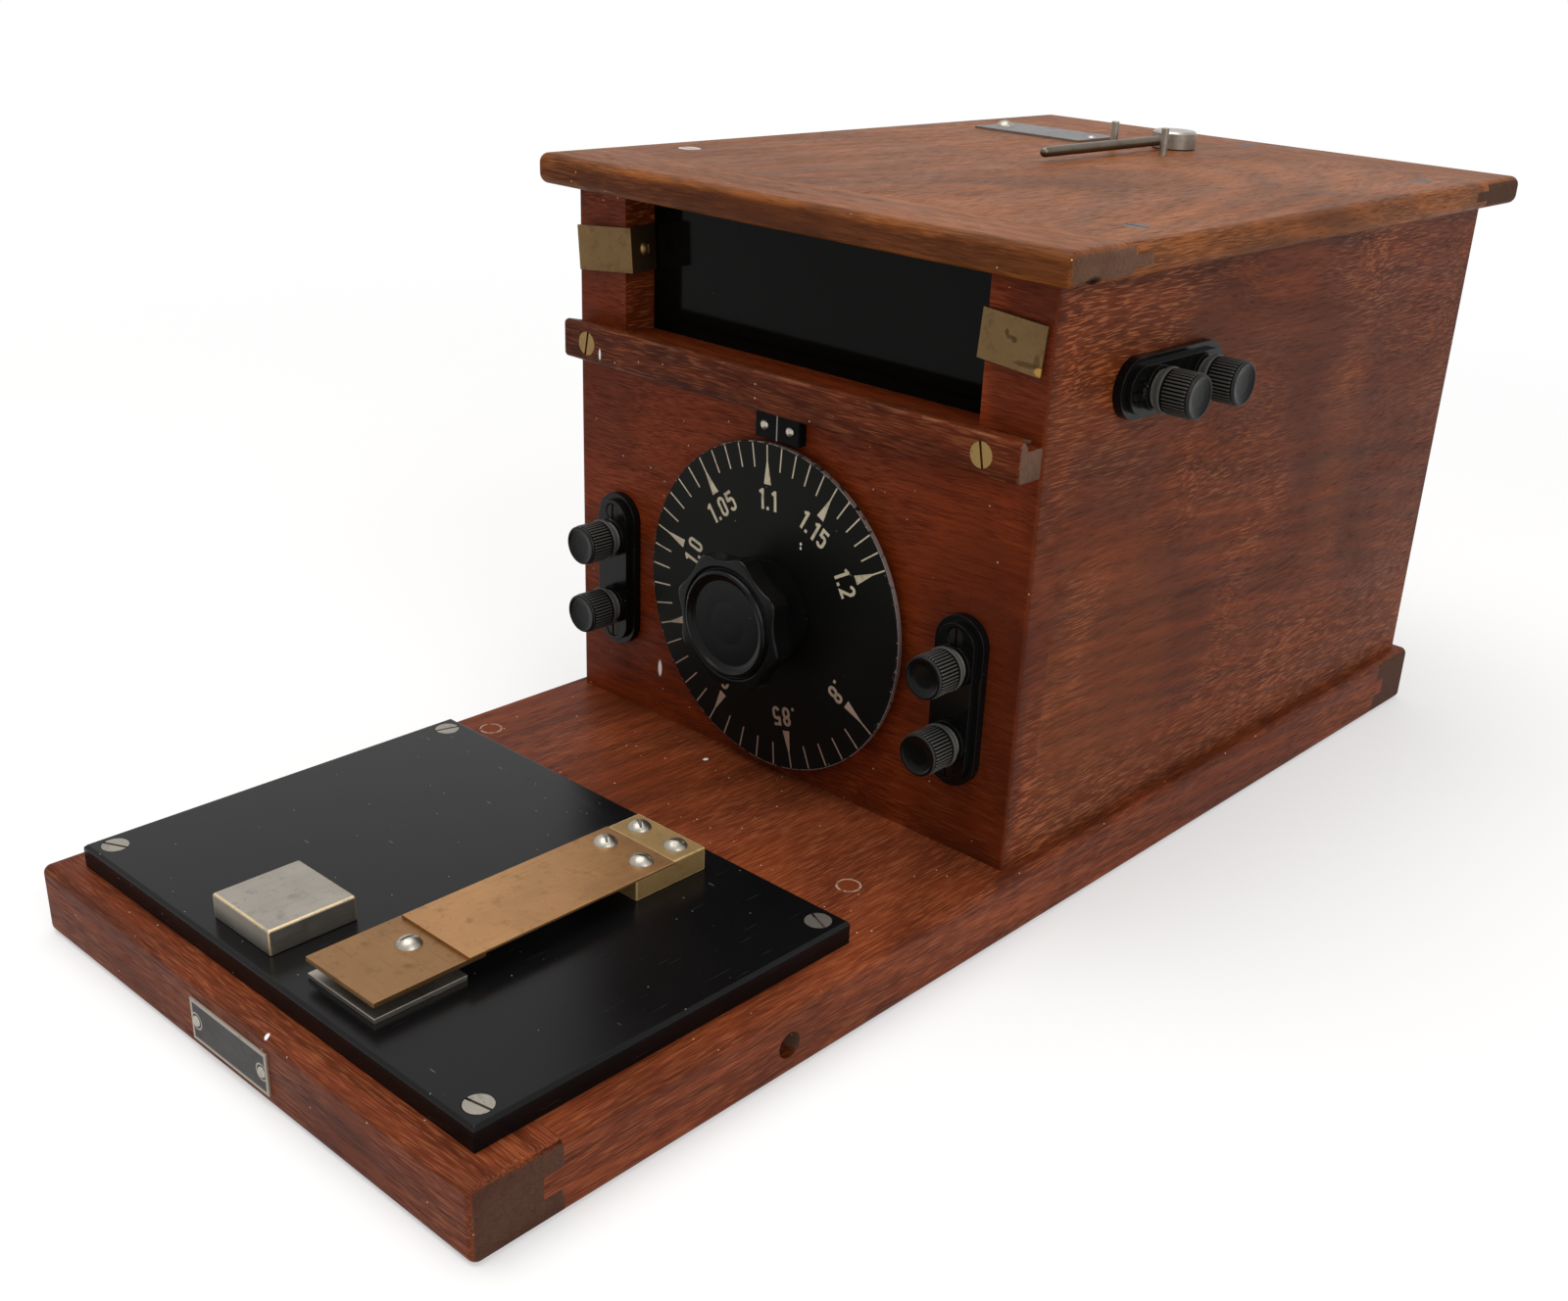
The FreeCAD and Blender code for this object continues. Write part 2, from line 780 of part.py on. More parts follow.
def clip_screw_place(side, turn):
    """Screw in a clip's leg, driven into the window's side."""
    local = V(-side * clip_thick, -clip_leg + clip_screw_back, -clip_height / 2)
    frame = clip_placement(side, turn)
    out = frame.Rotation.multVec(V(-side, 0, 0))
    return outward(frame.multVec(local), out, Z_AXIS)


clips = [(-1, left_clip_turn), (1, right_clip_turn)]
clip_screw_hole_length = clip_screw_length + clip_thick


def clip_screw_holes():
    """Screw holes through the clips and into the front wall."""
    hole = rod(clip_shank_radius + wood_fit, V(0, 0, -clip_screw_hole_length - wood_fit), V(0, 0, 1))
    return [put(hole, clip_screw_place(side, turn)) for side, turn in clips]


def spring_clips():
    pieces = []
    for side, turn in clips:
        piece = clip_solid(side, turn)
        pieces.append(cut_all(piece, clip_screw_holes()))
    return pieces


def clip_screw():
    """Small round-head screw that holds a clip."""
    head = domed_head(clip_screw_radius, clip_screw_height)
    head = slotted(head, clip_screw_height + slot_depth / 2, clip_screw_radius)
    shank = rod(clip_shank_radius, V(0, 0, -clip_screw_hole_length), V(0, 0, overlap))
    return head.fuse(shank).removeSplitter()


def brass_screws():
    screws = [put(flat_head_screw(ledge_screw_length), place) for place in ledge_screw_places]
    screws += [put(clip_screw(), clip_screw_place(side, turn)) for side, turn in clips]
    return screws


# Index, plates and pins
def index_block():
    block = box(dial_x - index_width / 2, dial_x + index_width / 2, index_face, case_front,
                index_bottom, index_bottom + index_height)
    block = block.makeFillet(index_round, [e for e in block.Edges if e.BoundBox.YMax < case_front - 0.1])
    return cut_all(block, pin_holes())


def blank_nameplate():
    half = nameplate_width / 2
    plate = box(-half, half, nameplate_face, base_front, nameplate_z - nameplate_height / 2,
                nameplate_z + nameplate_height / 2)
    return cut_all(plate, pin_holes())


def blank_tag():
    plate = box(tag_x0, tag_x0 + tag_width, tag_y0, tag_y0 + tag_length, lid_top, tag_face)
    return cut_all(plate, pin_holes() + [put(tag_screw_hole(), tag_screw_place)])


def tag_screw_hole():
    """The hole that the tag's screw fills."""
    return rod(round_shank_radius + wood_fit, V(0, 0, -tag_screw_length - wood_fit), V(0, 0, 1))


# Terminals
def stadium(length, width, thick, base_z):
    """A plate with round ends, long side on local X."""
    half = length / 2 - width / 2
    middle = box(-half, half, -width / 2, width / 2, base_z, base_z + thick)
    for x in (-half, half):
        middle = middle.fuse(Part.makeCylinder(width / 2, thick, V(x, 0, base_z)))
    return middle.removeSplitter()


def terminal_base():
    """Moulded base of a terminal pair, standing on local z = 0."""
    flange = stadium(term_length, term_width, term_flange_thick, 0)
    step = stadium(term_length - 2 * term_step_in, term_width - 2 * term_step_in,
                   term_step_thick, term_flange_thick)
    base = flange.fuse(step)
    for offset in stud_offsets.values():
        boss = Part.makeCylinder(term_boss_radius, term_boss_thick, V(offset, 0, term_front_thick))
        base = base.fuse(boss)
    base = base.removeSplitter()
    for offset in stud_offsets.values():
        base = base.cut(rod(stud_hole_radius, V(offset, 0, -1), V(offset, 0, thumb_start)))
    for offset in term_screw_offsets:
        base = base.cut(rod(round_shank_radius + wood_fit, V(offset, 0, -1), V(offset, 0, thumb_start)))
        well = rod(term_well_radius, V(offset, 0, term_front_thick - term_well_depth),
                   V(offset, 0, thumb_start))
        base = base.cut(well)
    return base


def terminal_screw():
    """Screw in a terminal base's well."""
    radius = term_well_radius - term_head_gap
    height = term_well_depth - term_head_sunk
    head = slotted(Part.makeCylinder(radius, height), height + slot_depth / 2, radius)
    shank = rod(round_shank_radius, V(0, 0, -term_screw_length), V(0, 0, overlap))
    return head.fuse(shank).removeSplitter()


def terminal_stud():
    """Threaded stud through the wall, with a shoulder against the base's boss."""
    return rod(stud_radius, V(0, 0, -wall - stud_into_case),
               V(0, 0, thumb_start + thumb_bore_depth - stud_end_gap))


def stud_nut():
    """Hexagon nut on the inside of the wall."""
    nut = polygon_bar([stud_nut_corner] * 6, -wall - stud_nut_thick, stud_nut_thick)
    return nut.cut(rod(stud_radius + wood_fit, V(0, 0, -wall - stud_nut_thick - 1), V(0, 0, 1)))


def thumb_nut():
    """Ribbed thumb nut with a dished face, its collar at local z = thumb_start."""
    z = thumb_start
    collar = Part.makeCylinder(thumb_collar_radius, thumb_collar_thick, V(0, 0, z))
    z += thumb_collar_thick
    flange = Part.makeCylinder(thumb_flange_radius, thumb_flange_thick, V(0, 0, z))
    z += thumb_flange_thick
    ribs = polygon_bar([thumb_radius, thumb_radius - thumb_rib_depth] * thumb_ribs, z, thumb_rib_length)
    z += thumb_rib_length
    rim = Part.makeCylinder(thumb_radius - thumb_rim_in, thumb_rim_thick, V(0, 0, z))
    z += thumb_rim_thick
    rim = rim.makeChamfer(thumb_rim_chamfer, [e for e in rim.Edges if e.BoundBox.ZMin > z - 0.01])
    nut = collar.fuse(flange).fuse(ribs).fuse(rim).removeSplitter()
    dish_edge = thumb_radius - thumb_dish_in
    dish_radius = (dish_edge ** 2 + thumb_dish ** 2) / (2 * thumb_dish)
    nut = nut.cut(Part.makeSphere(dish_radius, V(0, 0, z - thumb_dish + dish_radius)))
    bore = rod(stud_radius + shaft_fit, V(0, 0, thumb_start - 1), V(0, 0, thumb_start + thumb_bore_depth))
    return nut.cut(bore)


def terminal_nodes():
    """Every piece of the three terminal pairs, by node name."""
    pieces = {}
    studs = []
    nuts = []
    screws = []
    for name, place in terminals.items():
        pieces[name + "_terminal_base"] = [put(terminal_base(), place)]
        for level, offset in stud_offsets.items():
            spot = place.multiply(FreeCAD.Placement(V(offset, 0, 0), FreeCAD.Rotation()))
            studs.append(put(terminal_stud(), spot))
            nuts.append(put(stud_nut(), spot))
            pieces[name + "_" + level + "_thumb_nut"] = [put(thumb_nut(), spot)]
        for offset in term_screw_offsets:
            spot = place.multiply(FreeCAD.Placement(V(offset, 0, term_front_thick - term_well_depth),
                                                    FreeCAD.Rotation()))
            screws.append(put(terminal_screw(), spot))
    pieces["terminal_studs"] = studs
    pieces["stud_nuts"] = nuts
    pieces["terminal_screws"] = screws
    return pieces


# Dial and slide wire
dial_place = outward(V(dial_x, dial_front, dial_z), -Y_AXIS, X_AXIS)


def dial_disc():
    disc = rod(dial_radius, V(dial_x, dial_front, dial_z), V(dial_x, dial_back, dial_z))
    hole = rod(dial_hole_radius, V(dial_x, dial_front - 1, dial_z), V(dial_x, dial_back + 1, dial_z))
    return disc.cut(hole)


def knob_outline(steps):
    """Radii of the lobed rim."""
    radii = []
    for i in range(steps):
        angle = 2 * math.pi * i / steps - math.radians(knob_lobe_turn)
        radii.append(knob_radius + knob_lobe * math.cos(knob_lobes * angle))
    return radii


def dial_knob():
    """Bakelite knob: round skirt, lobed rim, raised ring round a dished face."""
    depth = knob_skirt_depth + knob_lobed_depth
    skirt = revolve([(0, 0), (knob_skirt_radius, 0), (knob_neck_radius, knob_skirt_depth),
                     (0, knob_skirt_depth)])
    lobed = polygon_bar(knob_outline(knob_lobes * 12), knob_skirt_depth, knob_lobed_depth)
    ring_top = depth + knob_ring_proud
    ring_inner = knob_ring_radius - knob_ring_wide
    ring_foot = knob_ring_radius + knob_ring_flare
    ring = revolve([(0, depth - overlap), (ring_foot, depth - overlap), (ring_foot, depth),
                    (knob_ring_radius, ring_top), (0, ring_top)])
    body = skirt.fuse(lobed).fuse(ring).removeSplitter()
    floor = depth - knob_dish
    dish = revolve([(0, floor), (ring_inner - knob_dish_slope, floor + knob_dish_rise),
                    (ring_inner, ring_top - knob_dish_lip), (ring_inner, ring_top + 1), (0, ring_top + 1)])
    body = body.cut(dish)
    bore = rod(shaft_radius + wood_fit, V(0, 0, -1), V(0, 0, shaft_into_knob + wood_fit))
    return put(body.cut(bore), dial_place)


def dial_shaft():
    """Shaft with a collar that stops it against the back of the bush."""
    tail = -(dial_thick + dial_gap + wall + shaft_behind_wall)
    bar = rod(shaft_radius, V(0, 0, tail), V(0, 0, shaft_into_knob))
    collar_back = -(dial_thick + dial_gap + wall + bush_flange_thick)
    collar = rod(shaft_collar_radius, V(0, 0, collar_back - free_gap - shaft_collar_length),
                 V(0, 0, collar_back - free_gap))
    return put(bar.fuse(collar).removeSplitter(), dial_place)


def shaft_bushing():
    """Flanged bush in the front wall, its flange inside."""
    face = -(dial_thick + dial_gap)
    back = face - wall
    body = rod(bush_radius, V(0, 0, back), V(0, 0, face))
    flange = rod(bush_flange_radius, V(0, 0, back - bush_flange_thick), V(0, 0, back))
    bore = rod(shaft_radius + shaft_fit, V(0, 0, back - bush_flange_thick - 1), V(0, 0, face + 1))
    return put(body.fuse(flange).removeSplitter().cut(bore), dial_place)


def slide_wire():
    """Ring that carries the resistance wire, fixed behind the front wall."""
    back = -(dial_thick + dial_gap + wall)
    ring = rod(wire_outer_radius, V(0, 0, back - wire_depth), V(0, 0, back))
    ring = ring.cut(rod(wire_inner_radius, V(0, 0, back - wire_depth - 1), V(0, 0, back + 1)))
    return put(ring, dial_place)


def wiper_arm():
    """Arm on the shaft whose tip runs round behind the slide wire."""
    back = -(dial_thick + dial_gap + wall + wire_depth + free_gap)
    hub = rod(wiper_hub_radius, V(0, 0, back - wiper_hub_length), V(0, 0, back))
    arm_length = wire_outer_radius - wiper_short
    arm = box(0, arm_length, -wiper_width / 2, wiper_width / 2, back - wiper_thick, back)
    bore = rod(shaft_radius + wood_fit, V(0, 0, back - wiper_hub_length - 1), V(0, 0, back + 1))
    return put(hub.fuse(arm).removeSplitter().cut(bore), dial_place)


# Panel, blocks and key
block_x = panel_left + block_from_left
block_y = panel_front + block_from_front
plate_y = pad_front + plate_length / 2
contact_spots = [(block_x, block_y), (pad_x, plate_y)]
key_screw_y = pad_front + key_screw_from_front
key_rows = [key_block_rear - key_rear_screw_in, key_block_rear - key_rear_screw_in - key_screw_row]
key_screw_places = [
    outward(V(key_x + side * key_screw_span / 2, y, key_block_top), Z_AXIS, V(1, 0.6 * side, 0).normalize())
    for y in key_rows
    for side in (-1, 1)
]
contact_stud_length = panel_thick + plate_stud_below
key_contact_x = pad_x - key_screw_shift
contact_reach = hinge_y - key_screw_y + contact_tip_radius
contact_travel = contact_reach * math.sin(math.radians(key_press_deg))
contact_tip_z = panel_top + plate_thick + contact_touch_gap + contact_travel


def key_screw_holes():
    hole = rod(round_shank_radius + wood_fit, V(0, 0, -key_screw_length - wood_fit), V(0, 0, 1))
    return [put(hole, place) for place in key_screw_places]


def contact_stud_holes():
    holes = []
    for x, y in contact_spots:
        holes.append(rod(plate_stud_radius + wood_fit, V(x, y, base_top - 1), V(x, y, panel_top + 1)))
    return holes


def contact_panel():
    block = box(panel_left, -panel_left, panel_front, panel_rear, base_top, panel_top)
    top_edges = [e for e in block.Edges if e.BoundBox.ZMin > panel_top - 0.01]
    block = block.makeChamfer(panel_chamfer, top_edges)
    return cut_all(block, panel_screw_holes() + key_screw_holes() + contact_stud_holes())


def stud_below(x, y):
    """Stud under a contact, through the panel into the pocket."""
    return rod(plate_stud_radius, V(x, y, panel_top - contact_stud_length), V(x, y, panel_top + overlap))


def contact_block():
    block = box(block_x - block_width / 2, block_x + block_width / 2, block_y - block_length / 2,
                block_y + block_length / 2, panel_top, panel_top + block_height)
    top_edges = [e for e in block.Edges if e.BoundBox.ZMin > panel_top + block_height - 0.01]
    block = block.makeChamfer(block_chamfer, top_edges)
    return block.fuse(stud_below(block_x, block_y)).removeSplitter()


def lower_contact_plate():
    plate = box(pad_x - plate_width / 2, pad_x + plate_width / 2, plate_y - plate_length / 2,
                plate_y + plate_length / 2, panel_top, panel_top + plate_thick)
    return plate.fuse(stud_below(pad_x, plate_y)).removeSplitter()


def contact_nuts():
    """Nuts on the contacts' studs, under the panel."""
    pieces = []
    for x, y in contact_spots:
        nut = polygon_bar([contact_nut_corner] * 6, base_top - contact_nut_thick, contact_nut_thick)
        nut.translate(V(x, y, 0))
        pieces.append(nut.cut(rod(plate_stud_radius + wood_fit, V(x, y, 0), V(x, y, base_top + 1))))
    return pieces


def key_block():
    """Brass block that clamps the strip, stepped down for it at the front."""
    block = box(key_x - key_block_width / 2, key_x + key_block_width / 2, key_block_front, key_block_rear,
                panel_top, key_block_top)
    step = box(key_x - strip_width, key_x + strip_width, key_block_front - 1,
               key_block_front + strip_clamped, strip_bottom, key_block_top + 1)
    return cut_all(block.cut(step), key_screw_holes())


def round_head_screws():
    """The key block's four screws and the tag's one."""
    screws = [put(round_head_screw(key_screw_length), place) for place in key_screw_places]
    return screws + [put(round_head_screw(tag_screw_length), tag_screw_place)]


def key_strip_root():
    """The clamped end of the strip."""
    piece = box(key_x - strip_width / 2, key_x + strip_width / 2, key_block_front,
                key_block_front + strip_clamped, strip_bottom, key_block_top)
    return cut_all(piece, key_screw_holes())


def key_strip():
    """The free part of the spring strip."""
    return box(key_x - strip_width / 2, key_x + strip_width / 2, strip_end, key_block_front - free_gap,
               strip_bottom, key_block_top)


def key_pad():
    """Plate under the end of the strip, where a finger presses."""
    pad = box(pad_x - pad_width / 2, pad_x + pad_width / 2, pad_front, pad_rear, pad_bottom, strip_bottom)
    hole = rod(round_shank_radius + wood_fit, V(key_contact_x, key_screw_y, pad_bottom - 1),
               V(key_contact_x, key_screw_y, strip_bottom + 1))
    return pad.cut(hole)


def key_contact():
    """Screw through the pad whose lower end is the contact."""
    tip = rod(contact_tip_radius, V(0, 0, contact_tip_z - strip_bottom), V(0, 0, -pad_thick))
    piece = round_head_screw(pad_thick + overlap).fuse(tip).removeSplitter()
    place = outward(V(key_contact_x, key_screw_y, strip_bottom), Z_AXIS, V(0.2, 1, 0).normalize())
    return put(piece, place)


# Zero lever
def lever_hub():
    """Round head on a spindle that goes down through the lid."""
    bottom = lid_top + free_gap
    head = Part.makeCylinder(hub_radius, hub_height - free_gap, V(lever_x, lever_y, bottom))
    top_edges = [e for e in head.Edges if e.BoundBox.ZMin > lid_top + hub_height - 0.01]
    head = head.makeChamfer(hub_chamfer, top_edges)
    spindle = rod(spindle_radius, V(lever_x, lever_y, spindle_bottom), V(lever_x, lever_y, bottom + overlap))
    hub = head.fuse(spindle).removeSplitter()
    socket = rod(rod_radius + wood_fit, V(lever_x, lever_y - hub_radius + rod_socket, lid_top + rod_height),
                 V(lever_x, lever_y - hub_radius - 2, lid_top + rod_height))
    return hub.cut(socket)


def lever_rod():
    """Rod with a domed end, let into the hub's side."""
    z = lid_top + rod_height
    root = V(lever_x, lever_y - hub_radius + rod_socket, z)
    tip = V(lever_x, lever_y - rod_length + rod_radius, z)
    bar = rod(rod_radius, root, tip)
    return bar.fuse(Part.makeSphere(rod_radius, tip)).removeSplitter()


# Galvanometer
frame_top = base_top + frame_foot_thick
magnet_bottom = frame_top
magnet_top = magnet_bottom + magnet_height
coil_mid_z = magnet_top - coil_height / 2 - coil_below_magnet_top
coil_top = coil_mid_z + coil_height / 2


def galv_frame():
    """Foot plate under the magnet."""
    return box(lever_x - frame_foot_width / 2, lever_x + frame_foot_width / 2,
               lever_y - frame_foot_length / 2, lever_y + frame_foot_length / 2, base_top, frame_top)


def galv_magnet():
    """Upright horseshoe magnet."""
    half = magnet_gap / 2 + magnet_leg_width
    outer = box(lever_x - half, lever_x + half, lever_y - magnet_leg_depth / 2,
                lever_y + magnet_leg_depth / 2, magnet_bottom, magnet_top)
    gap = box(lever_x - magnet_gap / 2, lever_x + magnet_gap / 2, lever_y - magnet_leg_depth,
              lever_y + magnet_leg_depth, magnet_bottom + magnet_bridge, magnet_top + 1)
    return outer.cut(gap)


def galv_coil():
    """Wound frame hung from the spindle by its stem."""
    outer = box(lever_x - coil_width / 2, lever_x + coil_width / 2, lever_y - coil_depth / 2,
                lever_y + coil_depth / 2, coil_mid_z - coil_height / 2, coil_top)
    inner = box(lever_x - coil_width / 2 + coil_wire, lever_x + coil_width / 2 - coil_wire,
                lever_y - coil_depth, lever_y + coil_depth, coil_mid_z - coil_height / 2 + coil_wire,
                coil_top - coil_wire)
    stem_top = spindle_bottom - free_gap
    stem = rod(coil_stem_radius, V(lever_x, lever_y, coil_top - 1), V(lever_x, lever_y, stem_top))
    return outer.cut(inner).fuse(stem).removeSplitter()


def galv_mirror():
    """Mirror on the coil's stem."""
    z0 = coil_top + mirror_above_coil
    front = lever_y - coil_stem_radius - mirror_off_stem
    return box(lever_x - mirror_width / 2, lever_x + mirror_width / 2, front - mirror_thick, front,
               z0, z0 + mirror_height)


# Lamp and ratio coils
lamp_y = case_front + lamp_y_from_front
lamp_z = base_top + lamp_height


def lamp_house():
    """Tube on a foot, closed behind, that throws light on the mirror."""
    y0 = lamp_y
    y1 = lamp_y + lamp_tube_length
    tube = rod(lamp_tube_radius, V(lamp_x, y0, lamp_z), V(lamp_x, y1, lamp_z))
    foot_y = y0 + lamp_foot_in
    foot = box(lamp_x - lamp_foot_width / 2, lamp_x + lamp_foot_width / 2, foot_y,
               foot_y + lamp_foot_length, base_top, lamp_z)
    whole = tube.fuse(foot).removeSplitter()
    bore_start = V(lamp_x, y0 + lamp_back_wall, lamp_z)
    bore = rod(lamp_tube_radius - lamp_tube_wall, bore_start, V(lamp_x, y1 + 1, lamp_z))
    return whole.cut(bore)


def lamp_bulb():
    """Bulb and cap, seated on the tube's closed end."""
    y0 = lamp_y + lamp_back_wall
    cap = rod(bulb_cap_radius, V(lamp_x, y0, lamp_z), V(lamp_x, y0 + bulb_cap_length, lamp_z))
    globe = Part.makeSphere(bulb_radius, V(lamp_x, y0 + bulb_reach, lamp_z))
    return cap.fuse(globe).removeSplitter()


def coil_spools():
    """Ratio coils, wound on spools that stand on the base."""
    spools = []
    for i in range(spool_count):
        y = case_front + spool_from_front + i * spool_pitch
        upper = spool_height - spool_flange
        profile = [(0, 0), (spool_radius, 0), (spool_radius, spool_flange)]
        profile += [(spool_core_radius, spool_flange), (spool_core_radius, upper), (spool_radius, upper)]
        profile += [(spool_radius, spool_height), (0, spool_height)]
        spool = revolve(profile)
        spool.translate(V(spool_x, y, base_top))
        spools.append(spool)
    return spools


def all_nodes():
    """Every node with its list of solids."""
    board, front_strip, rear_strip = base_pieces()
    lid_board, lid_front_strip, lid_rear_strip = lid_pieces()
    nodes = {
        "base_board": [board],
        "base_front_strip": [front_strip],
        "base_rear_strip": [rear_strip],
        "base_plugs": base_plugs(),
        "front_panel": [front_panel()],
        "left_side": [side_wall(-1)],
        "right_side": [side_wall(1)],
        "rear_panel": [rear_panel()],
        "corner_blocks": corner_blocks(),
        "lid_board": [lid_board],
        "lid_front_strip": [lid_front_strip],
        "lid_rear_strip": [lid_rear_strip],
        "lid_screws": [put(flat_head_screw(lid_screw_length), place) for place in lid_screw_places],
        "ledge_strip": [ledge_strip()],
        "brass_screws": brass_screws(),
        "window_glass": [window_glass()],
        "glass_battens": glass_battens(),
        "spring_clips": spring_clips(),
        "index_block": [index_block()],
        "escutcheon_pins": [put(pin_with_head(), place) for place in pin_places],
        "blank_nameplate": [blank_nameplate()],
        "blank_tag": [blank_tag()],
        "contact_panel": [contact_panel()],
        "panel_screws": [put(flat_head_screw(panel_screw_length), place) for place in panel_screw_places],
        "contact_block": [contact_block()],
        "lower_contact_plate": [lower_contact_plate()],
        "key_block": [key_block()],
        "round_head_screws": round_head_screws(),
        "key_strip_root": [key_strip_root()],
        "key_strip": [key_strip()],
        "key_pad": [key_pad()],
        "key_contact": [key_contact()],
        "dial_disc": [dial_disc()],
        "dial_knob": [dial_knob()],
        "dial_shaft": [dial_shaft()],
        "shaft_bushing": [shaft_bushing()],
        "slide_wire": [slide_wire()],
        "wiper_arm": [wiper_arm()],
        "lever_hub": [lever_hub()],
        "lever_rod": [lever_rod()],
        "stop_pins": stop_pin_rod(0),
        "galv_frame": [galv_frame()],
        "galv_magnet": [galv_magnet()],
        "galv_coil": [galv_coil()],
        "galv_mirror": [galv_mirror()],
        "lamp_house": [lamp_house()],
        "lamp_bulb": [lamp_bulb()],
        "coil_spools": coil_spools(),
    }
    nodes.update(terminal_nodes())
    nodes["stud_nuts"] += contact_nuts()
    return nodes


def export():
    os.makedirs("parts", exist_ok=True)
    nodes = all_nodes()
    for name, solids in nodes.items():
        shape = solids[0] if len(solids) == 1 else Part.makeCompound(solids)
        for solid in solids:
            if not solid.isValid() or len(solid.Solids) != 1:
                print("check this solid of", name, "valid", solid.isValid(), "solids", len(solid.Solids))
        shape.exportStep("parts/" + name + ".step")
    print(len(nodes), "nodes written")


export()
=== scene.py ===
"""Looks of a wheatstone bridge in a mahogany case: its woods, mouldings, metals and the marks on its dial."""

import json
import math

import bmesh
import bpy
from mathutils import Matrix, Vector


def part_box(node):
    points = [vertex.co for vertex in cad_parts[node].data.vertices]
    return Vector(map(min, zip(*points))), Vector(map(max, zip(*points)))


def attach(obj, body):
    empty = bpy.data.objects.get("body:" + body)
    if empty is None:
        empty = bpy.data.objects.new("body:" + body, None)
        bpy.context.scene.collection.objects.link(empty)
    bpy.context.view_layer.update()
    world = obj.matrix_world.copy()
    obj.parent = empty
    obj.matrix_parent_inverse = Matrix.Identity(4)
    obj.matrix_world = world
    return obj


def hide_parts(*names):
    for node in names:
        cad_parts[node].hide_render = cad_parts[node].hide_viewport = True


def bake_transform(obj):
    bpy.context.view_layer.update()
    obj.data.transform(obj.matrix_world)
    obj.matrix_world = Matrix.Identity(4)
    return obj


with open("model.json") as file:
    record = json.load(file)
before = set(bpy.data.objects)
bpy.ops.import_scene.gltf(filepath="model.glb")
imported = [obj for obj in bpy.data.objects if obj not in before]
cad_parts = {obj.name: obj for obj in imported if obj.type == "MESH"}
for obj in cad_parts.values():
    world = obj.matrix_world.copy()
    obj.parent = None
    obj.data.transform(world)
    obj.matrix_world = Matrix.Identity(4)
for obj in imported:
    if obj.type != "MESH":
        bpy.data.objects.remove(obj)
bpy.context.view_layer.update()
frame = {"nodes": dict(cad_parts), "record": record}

bl_info = {
    "name": "Wheatstone bridge looks",
    "version": (1, 0, 0),
    "blender": (4, 5, 0),
    "location": "View3D > Sidebar > Bridge",
    "description": "Dresses the packed parts of a wheatstone bridge and adds its fine detail",
    "category": "Object",
}

MM = 0.001

RECORD = frame["record"]
BODY_OF = {node: body for body, nodes in RECORD["behaviour"]["bodies"].items() for node in nodes}
SLOT_OF = {part["node"]: part["material_slot"] for part in RECORD["subparts"]}
JOINT = {joint["name"]: joint for joint in RECORD["behaviour"]["joints"]}

# The dial's own frame, read from its joint and its disc
DIAL_CENTRE = Vector(JOINT["dial_turn"]["pos_m"])
DIAL_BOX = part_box("dial_disc")
DIAL_RADIUS = (DIAL_BOX[1].x - DIAL_BOX[0].x) / 2
DIAL_FACE = DIAL_BOX[0].y

# How the photograph was taken, worked out from the corners of the case and the circle of the dial
PHOTO_WIDTH = 1600
CAMERA_PLACE = Vector((0.35863, -0.42233, 0.28590))
CAMERA_AZIMUTH = math.radians(40.402)
CAMERA_ELEVATION = math.radians(24.798)
CAMERA_ROLL = math.radians(3.136)
FOCAL_PIXELS = 1772.3
CENTRE_RIGHT_PIXELS = 58.35
CENTRE_DOWN_PIXELS = 68.01
SENSOR_WIDTH = 36.0


def size(name, default, what):
    """A length that can be set in the sidebar, in metres."""
    return bpy.props.FloatProperty(name=name, default=default, description=what, unit="LENGTH", precision=5)


def colour(name, default, what):
    """A colour that can be set in the sidebar."""
    return bpy.props.FloatVectorProperty(
        name=name, default=default, description=what, subtype="COLOR", size=3, min=0.0, max=1.0)


class BridgeSizes(bpy.types.PropertyGroup):
    """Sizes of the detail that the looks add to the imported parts."""

    board_ease: size("Board edges", 0.6 * MM, "Width of the worn round on wooden edges")
    part_ease: size("Moulded edges", 0.4 * MM, "Width of the round on moulded and metal edges")
    fine_ease: size("Fine edges", 0.15 * MM, "Width of the round on screws, clips and plates")
    tick_length: size("Tick length", 7.7 * MM, "Length of the dial's short marks")
    tick_width: size("Tick width", 0.48 * MM, "Width of the dial's short marks")
    pointer_length: size("Pointer length", 12.8 * MM, "Length of the dial's long pointed marks")
    pointer_width: size("Pointer width", 3.0 * MM, "Width of a pointed mark at its inner end")
    pointer_stem: size("Pointer stem", 5.2 * MM, "Length of the plain line before a pointed mark widens")
    numeral_height: size("Numeral height", 6.7 * MM, "Height of the dial's numerals")
    numeral_gap: size("Numeral gap", 1.6 * MM, "Gap between a pointed mark and its numerals")
    paint_thick: size("Paint thickness", 0.05 * MM, "How far the dial's marks stand off its face")
    thumb_ribs: bpy.props.IntProperty(
        name="Nut ribs", default=38, min=12, max=60, description="Number of ribs round a thumb nut")
    knob_lobes: bpy.props.IntProperty(
        name="Knob lobes", default=8, min=5, max=12, description="Number of lobes round the dial's knob")


